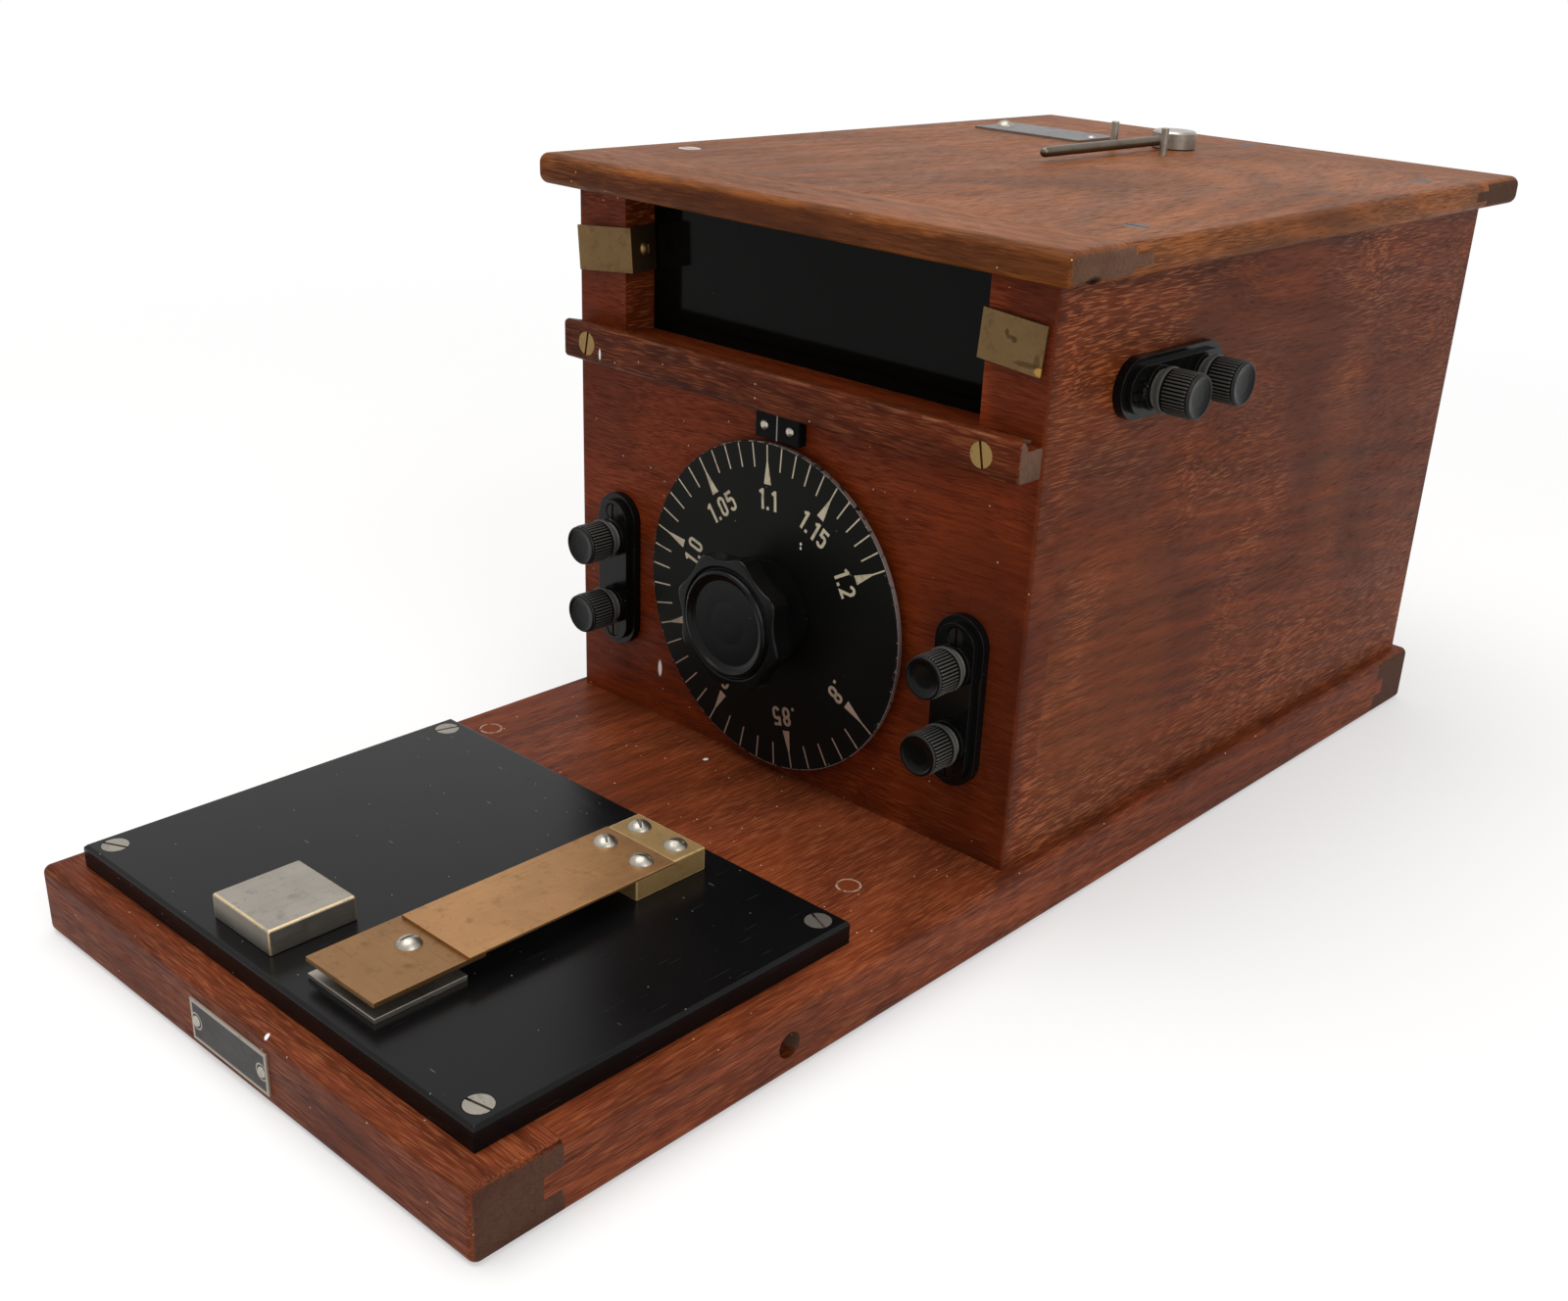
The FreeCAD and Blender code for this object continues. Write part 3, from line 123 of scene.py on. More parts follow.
class BridgeColours(bpy.types.PropertyGroup):
    """Colours of the bridge's finishes."""

    front_wood: colour("Front mahogany", (0.145, 0.021, 0.003), "Red brown of the front wall")
    side_wood: colour("Side mahogany", (0.104, 0.020, 0.0035), "Orange brown of the side walls")
    lid_wood: colour("Lid mahogany", (0.152, 0.044, 0.008), "Faded brown of the lid")
    ledge_wood: colour("Ledge mahogany", (0.0772, 0.0127, 0.0020), "Dark red brown of the ledge")
    base_wood: colour("Base mahogany", (0.125, 0.025, 0.007), "Dark red brown of the base")
    end_wood: colour("End grain", (0.125, 0.072, 0.050), "Grey brown of bare end grain")
    inner_wood: colour("Inner wood", (0.42, 0.29, 0.17), "Unfinished wood inside the case")
    ebonite: colour("Ebonite", (0.003, 0.003, 0.0032), "Black of the contact panel")
    bakelite: colour("Bakelite", (0.0035, 0.0034, 0.0032), "Black of the moulded parts")
    dial_black: colour("Dial lacquer", (0.0045, 0.0045, 0.0038), "Black of the dial")
    dial_cream: colour("Dial marks", (0.54, 0.47, 0.34), "Cream of the dial's marks")
    brass: colour("Brass", (0.46, 0.29, 0.11), "Aged brass")
    bronze: colour("Bronze", (0.42, 0.225, 0.095), "Tarnished spring bronze")
    nickel: colour("Nickel", (0.46, 0.42, 0.36), "Worn nickel plate")
    steel: colour("Dark steel", (0.10, 0.085, 0.07), "Darkened screws")
    rod_steel: colour("Rod steel", (0.138, 0.1092, 0.0792), "Dark steel of the lever's rod")
    clip_brass: colour("Clip brass", (0.160, 0.098, 0.044), "Dull brown brass of the clips")
    tag_metal: colour("Tag metal", (0.165, 0.157, 0.150), "Dull grey of the bare tag")


def shader_sum(operation, swapped=False):
    """A method of a wire that adds a Math node for it and another wire or number."""
    def method(wire, other):
        first, second = (other, wire) if swapped else (wire, other)
        return wire.nodes.math(operation, first, second)
    return method


class Wire:
    """A shader socket that joins in sums written in Python."""

    __add__ = shader_sum("ADD")
    __radd__ = shader_sum("ADD", swapped=True)
    __sub__ = shader_sum("SUBTRACT")
    __rsub__ = shader_sum("SUBTRACT", swapped=True)
    __mul__ = shader_sum("MULTIPLY")
    __rmul__ = shader_sum("MULTIPLY", swapped=True)

    def __init__(self, nodes, socket):
        self.nodes = nodes
        self.socket = socket

    def __abs__(self):
        return self.nodes.math("ABSOLUTE", self)


class Nodes:
    """A tree of shader nodes in the making."""

    def __init__(self, tree):
        self.tree = tree

    def join(self, value, socket):
        """Links a wire to a socket, or sets the socket to a plain value."""
        if isinstance(value, Wire):
            self.tree.links.new(value.socket, socket)
        elif socket.type == "RGBA":
            socket.default_value = (*value, 1.0)
        else:
            socket.default_value = value

    def node(self, kind, settings=None, sockets=None, output=0):
        """Adds a node of one type with its settings, then the values or wires of its sockets."""
        made = self.tree.nodes.new(kind)
        for name, value in (settings or {}).items():
            if name == "stops":
                set_stops(made.color_ramp, value)
            else:
                setattr(made, name, value)
        for name, value in (sockets or {}).items():
            self.join(value, made.inputs[name])
        return Wire(self, made.outputs[output])

    def math(self, operation, first, second=0.0):
        return self.node("ShaderNodeMath", {"operation": operation}, {0: first, 1: second})

    def least(self, first, second):
        return self.math("MINIMUM", first, second)

    def most(self, first, second):
        return self.math("MAXIMUM", first, second)

    def reach(self, first, second):
        """Length of a line whose two parts stand square to each other."""
        return self.math("SQRT", first * first + second * second)

    def wave(self, value, gap):
        """A sine that repeats once in each gap."""
        return self.math("SINE", value * (math.tau / gap))

    def step(self, value, start, end):
        """A smooth step from 0 at start to 1 at end."""
        return self.node("ShaderNodeMapRange", {"interpolation_type": "SMOOTHSTEP"},
                         {"Value": value, "From Min": start, "From Max": end})

    def under(self, value, limit, soft):
        """1 where a value is under a limit, with a soft edge."""
        return self.step(value, limit + soft, limit - soft)

    def seen_directly(self):
        """1 where the camera, a reflection or glass sees it, and 0 where it only lights others."""
        path = self.node("ShaderNodeLightPath").socket.node.outputs
        seen = [Wire(self, path[name]) for name in ("Is Camera Ray", "Is Glossy Ray", "Is Transmission Ray")]
        return self.least(seen[0] + seen[1] + seen[2], 1.0)


class Paint(Nodes):
    """A procedural material in the making, with one surface shader.

    place is the point in the object's own frame in metres, spot holds its three parts, and body is
    the colour so far.
    """

    def __init__(self, name):
        self.material = bpy.data.materials.new(name)
        self.material.use_nodes = True
        super().__init__(self.material.node_tree)
        self.tree.nodes.clear()
        self.shader = self.tree.nodes.new("ShaderNodeBsdfPrincipled")
        self.output = self.tree.nodes.new("ShaderNodeOutputMaterial")
        self.tree.links.new(self.shader.outputs[0], self.output.inputs["Surface"])
        self.place = self.node("ShaderNodeTexCoord", output=3)
        self.spot = self.parts(self.place)
        self.body = None

    def parts(self, vector):
        """The three parts of a vector."""
        split = self.node("ShaderNodeSeparateXYZ", sockets={0: vector}).socket.node
        return [Wire(self, socket) for socket in split.outputs]

    def facing(self):
        """The three parts of the surface's direction in the object's own frame."""
        return self.parts(self.node("ShaderNodeTexCoord", output=1))

    def scaled(self, point, rates):
        """A vector from the parts of a point, each times its own rate."""
        parts = [part * rate for part, rate in zip(point, rates)]
        return self.node("ShaderNodeCombineXYZ", sockets=dict(enumerate(parts)))

    def vector_math(self, operation, first, second, output=0):
        return self.node("ShaderNodeVectorMath", {"operation": operation}, {0: first, 1: second}, output)

    def mix(self, factor, first, second):
        """Mixes two colours."""
        return self.node("ShaderNodeMix", {"data_type": "RGBA"}, {0: factor, 6: first, 7: second}, output=2)

    def mottle(self, pattern, tone, darkest, palest):
        """Starts the body as one tone, which a pattern makes darker and paler."""
        self.body = self.mix(pattern, shade(tone, darkest), shade(tone, palest))

    def lay(self, mask, tone):
        """Lays a tone over the body where the mask is 1."""
        self.body = self.mix(mask, self.body, tone)

    def noise(self, scale, detail=2.0, roughness=0.5, vector=None):
        """Smooth noise between about 0.2 and 0.8. The scale is its repeats in each unit of the vector."""
        return self.node("ShaderNodeTexNoise", sockets={
            "Vector": vector or self.place, "Scale": scale, "Detail": detail, "Roughness": roughness})

    def streaks(self, point, rates, detail=2.0, roughness=0.5):
        """Noise with its own rate of repeats in a metre along each part of a point."""
        return self.noise(1.0, detail, roughness, self.scaled(point, rates))

    def specks(self, scale, radius, share, vector=None):
        """Round specks on a share of the cells of a random pattern. The radius is a share of a cell."""
        cells = self.node("ShaderNodeTexVoronoi", sockets={"Vector": vector or self.place, "Scale": scale})
        chance = self.parts(Wire(self, cells.socket.node.outputs["Color"]))[0]
        return self.step(cells, radius, radius * 0.6) * self.math("LESS_THAN", chance, share)

    def near(self, spot, reach):
        """1 inside a small ellipsoid round a spot and 0 outside it, with a soft edge."""
        rates = tuple(1.0 / part for part in reach)
        scaled = self.vector_math("MULTIPLY", self.place, rates)
        centre = tuple(part * rate for part, rate in zip(spot, rates))
        return self.under(self.vector_math("DISTANCE", scaled, centre, 1), 1.0, 0.25)

    def edge_distance(self, box):
        """Distance from a point on a board's face to the board's nearest edge."""
        depths = []
        for part, low, high in zip(self.spot, *box):
            depths.append((high - low) / 2 - abs(part - (low + high) / 2))
        a, b, c = depths
        return self.most(self.least(a, b), self.least(self.most(a, b), c))

    def axis_distance(self, centres, axis):
        """Distance from the nearest of two parallel axes."""
        first, second = [part for part in range(3) if part != axis]
        reaches = []
        for centre in centres:
            reaches.append(self.reach(self.spot[first] - centre[first], self.spot[second] - centre[second]))
        return self.least(*reaches)

    def marks(self, node):
        """Lays a node's single marks over the body."""
        for spot, reach, tone, share in MARKS.get(node, ()):
            self.lay(self.near([part * MM for part in spot], [part * MM for part in reach]) * share, tone)

    def bump(self, height, distance, strength):
        """Bends the surface's direction by a height between 0 and 1."""
        self.join(self.node("ShaderNodeBump", sockets={
            "Strength": strength, "Distance": distance, "Height": height}), self.shader.inputs["Normal"])

    def surface(self, **sockets):
        """Joins the body and the shader's other sockets, named in lower case with underscores."""
        for name, value in {"base_color": self.body, **sockets}.items():
            self.join(value, self.shader.inputs[name.replace("_", " ").title().replace("Ior", "IOR")])
        return self.material


def set_stops(ramp, stops):
    """Gives a colour ramp its stops, a list of place and colour."""
    while len(ramp.elements) < len(stops):
        ramp.elements.new(0.5)
    for element, (place, tone) in zip(ramp.elements, stops):
        element.position = place
        element.color = (*tone, 1.0)


def swap(factor, first, second):
    """A number that goes from the first to the second with the factor."""
    return first + factor * (second - first)


def shade(tone, factor):
    """A colour made lighter or darker."""
    return tuple(min(1.0, part * factor) for part in tone)


def blend_tones(first, second, share):
    """A colour between two others."""
    return tuple(a + (b - a) * share for a, b in zip(first, second))


def tone_of(name, factor=1.0):
    """One of the sidebar's colours, made lighter or darker."""
    return shade(getattr(bpy.context.scene.bridge_colours, name), factor)


# How strongly the old finishes reflect, as shares of the shader's own scale
WOOD_GLOSS = 0.08
BLACK_GLOSS = 0.15
MOULD_GLOSS = 0.13
SATIN_GLOSS = 0.06
GLASS_GLOSS = 0.02

# Tones of dirt, wear and paint, and of painted shade and painted highlights
PAINT_WHITE = (0.86, 0.85, 0.82)
PUTTY_GREY = (0.52, 0.50, 0.46)
LINE_GREY = (0.42, 0.39, 0.34)
DENT_BROWN = (0.020, 0.008, 0.005)
SCRATCH_BROWN = (0.40, 0.26, 0.18)
UMBER = (0.042, 0.008, 0.003)
WARM_BROWN = (0.22, 0.07, 0.02)
PALE_BROWN = (0.27, 0.075, 0.018)
STAIN_BROWN = (0.060, 0.034, 0.014)
BRIGHT_BRASS = (0.46, 0.27, 0.06)
RUBBED_WOOD = (0.36, 0.18, 0.09)
PORE_FILLER = (0.42, 0.17, 0.07)
OLD_GLUE = (0.42, 0.32, 0.24)
WOOD_DUST = (0.58, 0.42, 0.27)
BLACK_DUST = (0.26, 0.25, 0.23)
DIAL_DUST = (0.22, 0.21, 0.18)
LINT = (0.22, 0.21, 0.19)
SCRATCH_GREY = (0.06, 0.058, 0.055)
RIB_HIGHLIGHT = (0.080, 0.077, 0.070)
COLLAR_GREY = (0.115, 0.112, 0.098)
BARE_RIM = (0.37, 0.32, 0.30)
SHADED_CREAM = (0.30, 0.20, 0.15)

# Single marks that the photograph shows, by node, painted shade among them: place and reach in millimetres,
# tone, share
MARKS = {
    "front_panel": [
        # Two darker patches on the right of the front wall, round the terminals and near its top: painted
        # shade
        ((80.0, -35.0, 62.0), (26.0, 5.0, 62.0), UMBER, 0.42),
        ((88.0, -35.0, 175.0), (12.0, 5.0, 26.0), UMBER, 0.5),
        ((-56.4, -35.0, 40.6), (0.9, 2.0, 2.9), PAINT_WHITE, 0.95),
    ],
    "right_side": [
        # The wood's own tone, with painted shade that darkens the side towards the rear and painted light
        # that makes it paler low at the front
        ((96.8, 150.0, 118.0), (4.0, 16.0, 50.0), WARM_BROWN, 0.09),
        ((96.8, 200.0, 120.0), (4.0, 40.0, 100.0), UMBER, 0.28),
        ((96.8, 95.0, 150.0), (4.0, 34.0, 30.0), UMBER, 0.18),
        ((96.8, 10.0, 70.0), (4.0, 38.0, 50.0), PALE_BROWN, 0.12),
    ],
    "lid_front_strip": [
        ((0.0, -45.6, 204.0), (130.0, 1.6, 7.0), UMBER, 0.60),
        ((106.8, -34.6, 201.6), (3.0, 3.9, 2.1), DENT_BROWN, 0.95),
    ],
    "ledge_strip": [((-76.0, -44.7, 149.9), (0.5, 2.0, 1.8), PAINT_WHITE, 0.9)],
    "base_board": [((-19.8, -47.7, 22.2), (0.8, 1.0, 1.0), PAINT_WHITE, 0.8)],
    "base_front_strip": [((17.6, -238.8, 21.6), (0.7, 1.4, 0.9), PAINT_WHITE, 0.95)],
    "lid_board": [
        ((-1.3, 33.3, 210.6), (1.5, 1.1, 1.0), DENT_BROWN, 0.8),
        ((-3.0, 68.5, 210.6), (1.6, 1.0, 1.0), DENT_BROWN, 0.8),
        ((-6.5, 72.0, 210.6), (4.0, 0.5, 1.0), SCRATCH_BROWN, 0.5),
    ],
    "lid_screws": [((-90.5, 9.0, 210.6), (5.0, 5.0, 3.0), PUTTY_GREY, 0.85)],
    "spring_clips": [
        ((81.6, -35.6, 185.0), (0.7, 3.0, 1.0), STAIN_BROWN, 0.85),
        ((82.8, -35.6, 183.9), (1.3, 3.0, 0.6), STAIN_BROWN, 0.75),
        ((84.3, -35.6, 183.4), (0.9, 3.0, 0.9), STAIN_BROWN, 0.85),
        ((89.5, -35.6, 177.4), (5.0, 3.0, 0.8), STAIN_BROWN, 0.7),
        ((92.4, -35.6, 178.6), (1.1, 3.0, 2.2), STAIN_BROWN, 0.6),
        ((93.6, -35.6, 176.2), (1.8, 3.0, 1.2), BRIGHT_BRASS, 0.8),
    ],
    "dial_disc": [
        ((12.3, -39.5, 106.3), (0.4, 0.6, 0.5), PAINT_WHITE, 0.8),
        ((12.3, -39.5, 104.9), (0.4, 0.6, 0.5), PAINT_WHITE, 0.8),
    ],
}


# Woods

# How often the patterns of the wood repeat in a metre, along the fibres and then across them
WAVE_RATES = (10.0, 16.0, 16.0)
RIBBON_RATES = (3.0, 95.0, 0.5)
FIBRE_RATES = (18.0, 560.0, 560.0)
PORE_RATES = (130.0, 2400.0, 2400.0)
SMEAR_RATES = (12.0, 60.0, 60.0)

# How much red, green and blue is left in the wood's purple clouds
PURPLE_SHARES = (0.62, 0.66, 0.95)

# The front and side walls take their figure from one box, so that it runs on round the corner
CASE_BOX = (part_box("front_panel")[0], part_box("right_side")[1])
CASE_RINGS = dict(ring_gap=6.0 * MM, wander=14.0 * MM, worn=0.1, box=CASE_BOX)
SIDE_WALL = dict(tone="side_wood", grain=1, pith=(0.045, 0.045, 0.14), end_tone=0.6, dark_pores=0.25,
                 pale_pores=0.62, dust=0.16, **CASE_RINGS)
BOARDS = {
    "base_board": dict(tone="base_wood", grain=1, pith=(0.05, -0.16, 0.10), worn=0.25, pale_pores=0.32,
                       dust=0.10),
    "base_front_strip": dict(tone="base_wood", grain=0, pith=(0.12, -0.07, 0.05), worn=0.3, end_tone=0.45),
    "base_rear_strip": dict(tone="base_wood", grain=0, pith=(-0.09, -0.07, 0.05), worn=0.3, end_tone=0.45),
    "front_panel": dict(tone="front_wood", grain=0, pith=(-0.037, 0.04, 0.06), rings_share=0.05,
                        dark_pores=0.5, pale_pores=0.2, wrap="right_side", **CASE_RINGS),
    "left_side": SIDE_WALL,
    "right_side": SIDE_WALL,
    "rear_panel": dict(tone="side_wood", grain=0, pith=(0.08, -0.03, 0.07), worn=0.1, dark_pores=0.25,
                       pale_pores=0.55),
    "lid_board": dict(tone="lid_wood", grain=1, pith=(0.035, -0.09, 0.16), ring_gap=6.5 * MM, wander=8.0 * MM,
                      worn=0.5),
    "lid_front_strip": dict(tone="lid_wood", grain=0, pith=(0.06, -0.06, 0.05), worn=0.6, end_tone=0.8),
    "lid_rear_strip": dict(tone="lid_wood", grain=0, pith=(-0.08, -0.06, 0.05), worn=0.5, end_tone=0.35),
    "ledge_strip": dict(tone="ledge_wood", grain=0, pith=(0.05, -0.03, 0.05), ring_gap=4.0 * MM, worn=0.7),
}


def figure(paint, depth, tone):
    """Wood from dark late growth to pale early growth."""
    return paint.node("ShaderNodeValToRGB", {"stops": [
        (0.10, shade(tone, 0.45)),
        (0.40, shade(tone, 0.84)),
        (0.62, shade(tone, 1.16)),
        (0.95, blend_tones(shade(tone, 1.8), tone_of("end_wood"), 0.1)),
    ]}, {0: depth})


def mahogany(node, tone, grain, pith, ring_gap=5.5 * MM, wander=5.0 * MM, rings_share=0.10, worn=0.2,
             end_tone=1.0, dark_pores=0.45, pale_pores=0.40, dust=0.06, box=None, wrap=None):
    """Mahogany with growth rings, ribbon figure, open pores, dust and rubbed edges, for one board.

    tone is a colour of the sidebar, and grain the axis that the fibres follow. pith is the place of
    the tree's centre across the board, as two distances from the middle of its box, and the tilt of
    that centre line. wander is how far the rings stray. A board with a wrap, the name of its
    neighbour, shows the neighbour's long grain on its ends, as a mitred corner does.
    """
    tone = tone_of(tone)
    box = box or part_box(node)
    paint = Paint(node.replace("_", " ") + " wood")
    spot = paint.spot
    end = paint.step(abs(paint.facing()[grain]), 0.55, 0.85)
    across, through = [axis for axis in range(3) if axis != grain]
    middle = (box[0] + box[1]) / 2
    along = spot[grain] - middle[grain]
    side = spot[across] - (middle[across] + pith[0])
    deep = spot[through] - (middle[through] + pith[1])
    if wrap:
        neighbour = BOARDS[wrap]
        along = swap(end, along, spot[across] - middle[across])
        side = swap(end, side, spot[grain] - (middle[grain] + neighbour["pith"][0]))
        deep = swap(end, deep, spot[through] - (middle[through] + neighbour["pith"][1]))
        dark_pores = swap(end, dark_pores, neighbour["dark_pores"])
        pale_pores = swap(end, pale_pores, neighbour["pale_pores"])

    wave = paint.streaks((along, side, deep), WAVE_RATES) - 0.5
    bent = (along, side + wave * wander, deep + wave * wander)
    ring = paint.reach(side, deep + along * pith[2]) + wave * wander
    ribbon = paint.streaks((along, ring, wave), RIBBON_RATES, 3.0) - 0.5
    fibre = paint.streaks(bent, FIBRE_RATES, 3.0, 0.6) - 0.5
    blotch = paint.noise(13.0, 3.0) - 0.5
    depth = 0.5 + paint.wave(ring, ring_gap) * rings_share + ribbon * 0.75 + fibre * 0.9 + blotch * 0.6
    paint.body = figure(paint, depth, tone)
    if wrap:
        paint.lay(end, figure(paint, depth, tone_of(neighbour["tone"])))
    purple = tuple(part * share for part, share in zip(tone, PURPLE_SHARES))
    paint.lay(paint.step(paint.noise(19.0, 3.0, 0.6), 0.46, 0.66) * 0.55, purple)

    pores = paint.streaks(bent, PORE_RATES, 1.0)
    open_pores = paint.step(pores, 0.56, 0.68)
    filled_pores = paint.step(pores, 0.47, 0.37) * paint.step(blotch, -0.20, 0.10)
    paint.lay(open_pores * dark_pores, shade(tone, 0.30))
    paint.lay(filled_pores * pale_pores, blend_tones(shade(tone, 2.2), PORE_FILLER, 0.5))
    if not wrap:
        darkest = tone_of("end_wood", 0.4 * end_tone)
        palest = tone_of("end_wood", 1.5 * end_tone)
        paint.lay(end * 0.85, paint.mix(paint.noise(900.0, 3.0, 0.7), darkest, palest))

    edge = paint.edge_distance(box)
    rubbed = paint.step(edge, 1.3 * MM, 0.1 * MM) * paint.step(paint.noise(85.0, 4.0, 0.65), 0.46, 0.62)
    paint.lay(rubbed * worn, blend_tones(shade(tone, 2.0), RUBBED_WOOD, 0.5))
    grime = paint.step(edge, 8.0 * MM, 1.0 * MM) * paint.step(paint.noise(38.0, 3.0), 0.42, 0.68)
    paint.lay(grime * 0.5, shade(tone, 0.3))
    paint.marks(node)
    specks = paint.specks(437.0, 0.15, dust)
    paint.lay(specks * 0.85, WOOD_DUST)

    paint.bump(fibre * 0.5 - open_pores + 0.5, 0.07 * MM, 0.6)
    smear = paint.streaks((along, side, deep), SMEAR_RATES, 3.0)
    rough = 0.38 + smear * 0.2 + open_pores * 0.15 + specks * 0.3
    return paint.surface(roughness=rough if wrap else rough + end * 0.25, specular_ior_level=WOOD_GLOSS)


def plug_wood():
    """Round wooden plugs, end grain up, each with a pale ring where the glue shows."""
    paint = Paint("plug wood")
    points = [vertex.co for vertex in frame["nodes"]["base_plugs"].data.vertices]
    centres = []
    for side in (-1, 1):
        near = [point for point in points if point.x * side > 0]
        centres.append(sum(near, Vector((0, 0, 0))) / len(near))
    fibre = paint.noise(1300.0, 3.0, 0.7)
    paint.mottle(fibre, tone_of("base_wood"), 0.6, 1.5)
    ring = paint.step(paint.axis_distance(centres, 2), 3.1 * MM, 3.6 * MM)
    paint.lay(ring * paint.step(paint.noise(500.0), 0.30, 0.50) * 0.7, OLD_GLUE)
    return paint.surface(roughness=0.5 + fibre * 0.2, specular_ior_level=WOOD_GLOSS)


def bare_wood(name, factor, grain):
    """Unfinished inner wood with plain straight grain."""
    paint = Paint(name)
    tone = tone_of("inner_wood", factor)
    rates = [420.0] * 3
    rates[grain] = 14.0
    fibre = paint.streaks(paint.spot, rates, 4.0, 0.6)
    paint.mottle(fibre, tone, 0.55, 1.25)
    paint.lay(paint.step(paint.noise(16.0, 3.0), 0.45, 0.75) * 0.5, shade(tone, 0.45))
    paint.bump(fibre, 0.08 * MM, 0.5)
    return paint.surface(roughness=0.66 + fibre * 0.2, specular_ior_level=WOOD_GLOSS)


# Black parts

SCRATCH_RATES = (2400.0, 60.0, 2400.0)
LINT_RATES = (60.0, 420.0, 420.0)
INDEX_LINE_HALF = 0.24 * MM


def black_moulding(name, tone, rough, dust=0.05, scuff=0.25, gloss=SATIN_GLOSS, line_at=None, collar=None):
    """Black ebonite or bakelite with hand marks, fine scratches and dust.

    line_at is the place along X of a pale upright line. collar holds an axis, the place along it where
    a pair of thumb nuts starts, the sign of their direction and their centres. It makes their collars
    paler and paints highlights on the crests of their ribs.
    """
    paint = Paint(name)
    tone = tone_of(tone)
    cloud = paint.noise(26.0, 4.0, 0.6)
    scratches = paint.step(paint.streaks(paint.spot, SCRATCH_RATES), 0.70, 0.78)
    specks = paint.specks(420.0, 0.10, dust)
    paint.mottle(cloud * 0.5, tone, 0.75, 1.7)
    paint.lay(scratches * scuff * 0.4, SCRATCH_GREY)
    paint.lay(specks * 0.75, BLACK_DUST)
    paint.lay(paint.specks(1.0, 0.09, 0.05, paint.scaled(paint.spot, LINT_RATES)) * 0.35, LINT)
    if line_at is not None:
        line = paint.under(abs(paint.spot[0] - line_at), INDEX_LINE_HALF, 0.08 * MM)
        paint.lay(line * 0.85, LINE_GREY)
    if collar is not None:
        axis, start, outwards, centres = collar
        # Painted highlight: the crests of the ribs are laid paler than their valleys
        crest_highlight = paint.step(paint.axis_distance(centres, axis), RIB_CREST - 0.35 * MM, RIB_CREST)
        paint.lay(crest_highlight * 0.7, RIB_HIGHLIGHT)
        rise = (paint.spot[axis] - start) * outwards
        paint.lay(paint.under(rise, COLLAR_RISE, 0.05 * MM) * 0.9, COLLAR_GREY)
    paint.bump(paint.noise(420.0, 3.0, 0.6), 0.02 * MM, 0.25)
    return paint.surface(roughness=rough + cloud * 0.16 + scratches * scuff + specks * 0.4,
                         specular_ior_level=gloss)


def dial_lacquer():
    """Satin black disc whose rim is rubbed and chipped to bright metal, most on its right."""
    paint = Paint("dial lacquer")
    right = paint.spot[0] - DIAL_CENTRE.x
    radius = paint.reach(right, paint.spot[2] - DIAL_CENTRE.z)
    cloud = paint.noise(30.0, 4.0, 0.6)
    chips = paint.noise(330.0, 3.0, 0.7)
    rim_side = paint.step(radius, DIAL_RADIUS - 0.25 * MM, DIAL_RADIUS - 0.05 * MM)
    rubbed = rim_side * paint.step(chips + right * 2.2, 0.42, 0.56)
    chip_band = paint.step(radius, DIAL_RADIUS - 1.3 * MM, DIAL_RADIUS - 0.2 * MM)
    bare = paint.most(rubbed, chip_band * paint.step(chips + right * 1.4, 0.66, 0.70))
    paint.mottle(cloud, tone_of("dial_black"), 0.7, 1.5)
    paint.lay(paint.specks(300.0, 0.09, 0.08) * 0.7, DIAL_DUST)
    paint.lay(bare, BARE_RIM)
    paint.marks("dial_disc")
    paint.bump(paint.noise(900.0) - bare * 0.8, 0.02 * MM, 0.3)
    return paint.surface(metallic=bare * 0.9, roughness=0.32 + cloud * 0.12 + bare * 0.1,
                         specular_ior_level=SATIN_GLOSS)


def cream_paint():
    """Yellowed paint in the dial's marks, dirty in places, with painted shade that turns it brown towards the
    foot of the dial.
    """
    paint = Paint("dial cream")
    tone = tone_of("dial_cream")
    dirt = paint.noise(240.0, 3.0, 0.65)
    paint.mottle(paint.noise(45.0, 3.0), tone, 0.75, 1.12)
    # Painted shade: the marks turn browner and darker towards the foot of the dial
    paint.lay(paint.step(paint.spot[2] - DIAL_CENTRE.z, 6.0 * MM, -34.0 * MM), SHADED_CREAM)
    paint.lay(paint.step(dirt, 0.50, 0.72) * 0.5, shade(tone, 0.30))
    return paint.surface(roughness=0.55 + dirt * 0.2, specular_ior_level=SATIN_GLOSS)


# Metals

COPPER = (0.60, 0.24, 0.12)
SILVER = (0.82, 0.82, 0.80)
BLOCK_ARRIS = (0.655, 0.485, 0.245)
CLAMP_ARRIS = (0.556, 0.394, 0.186)

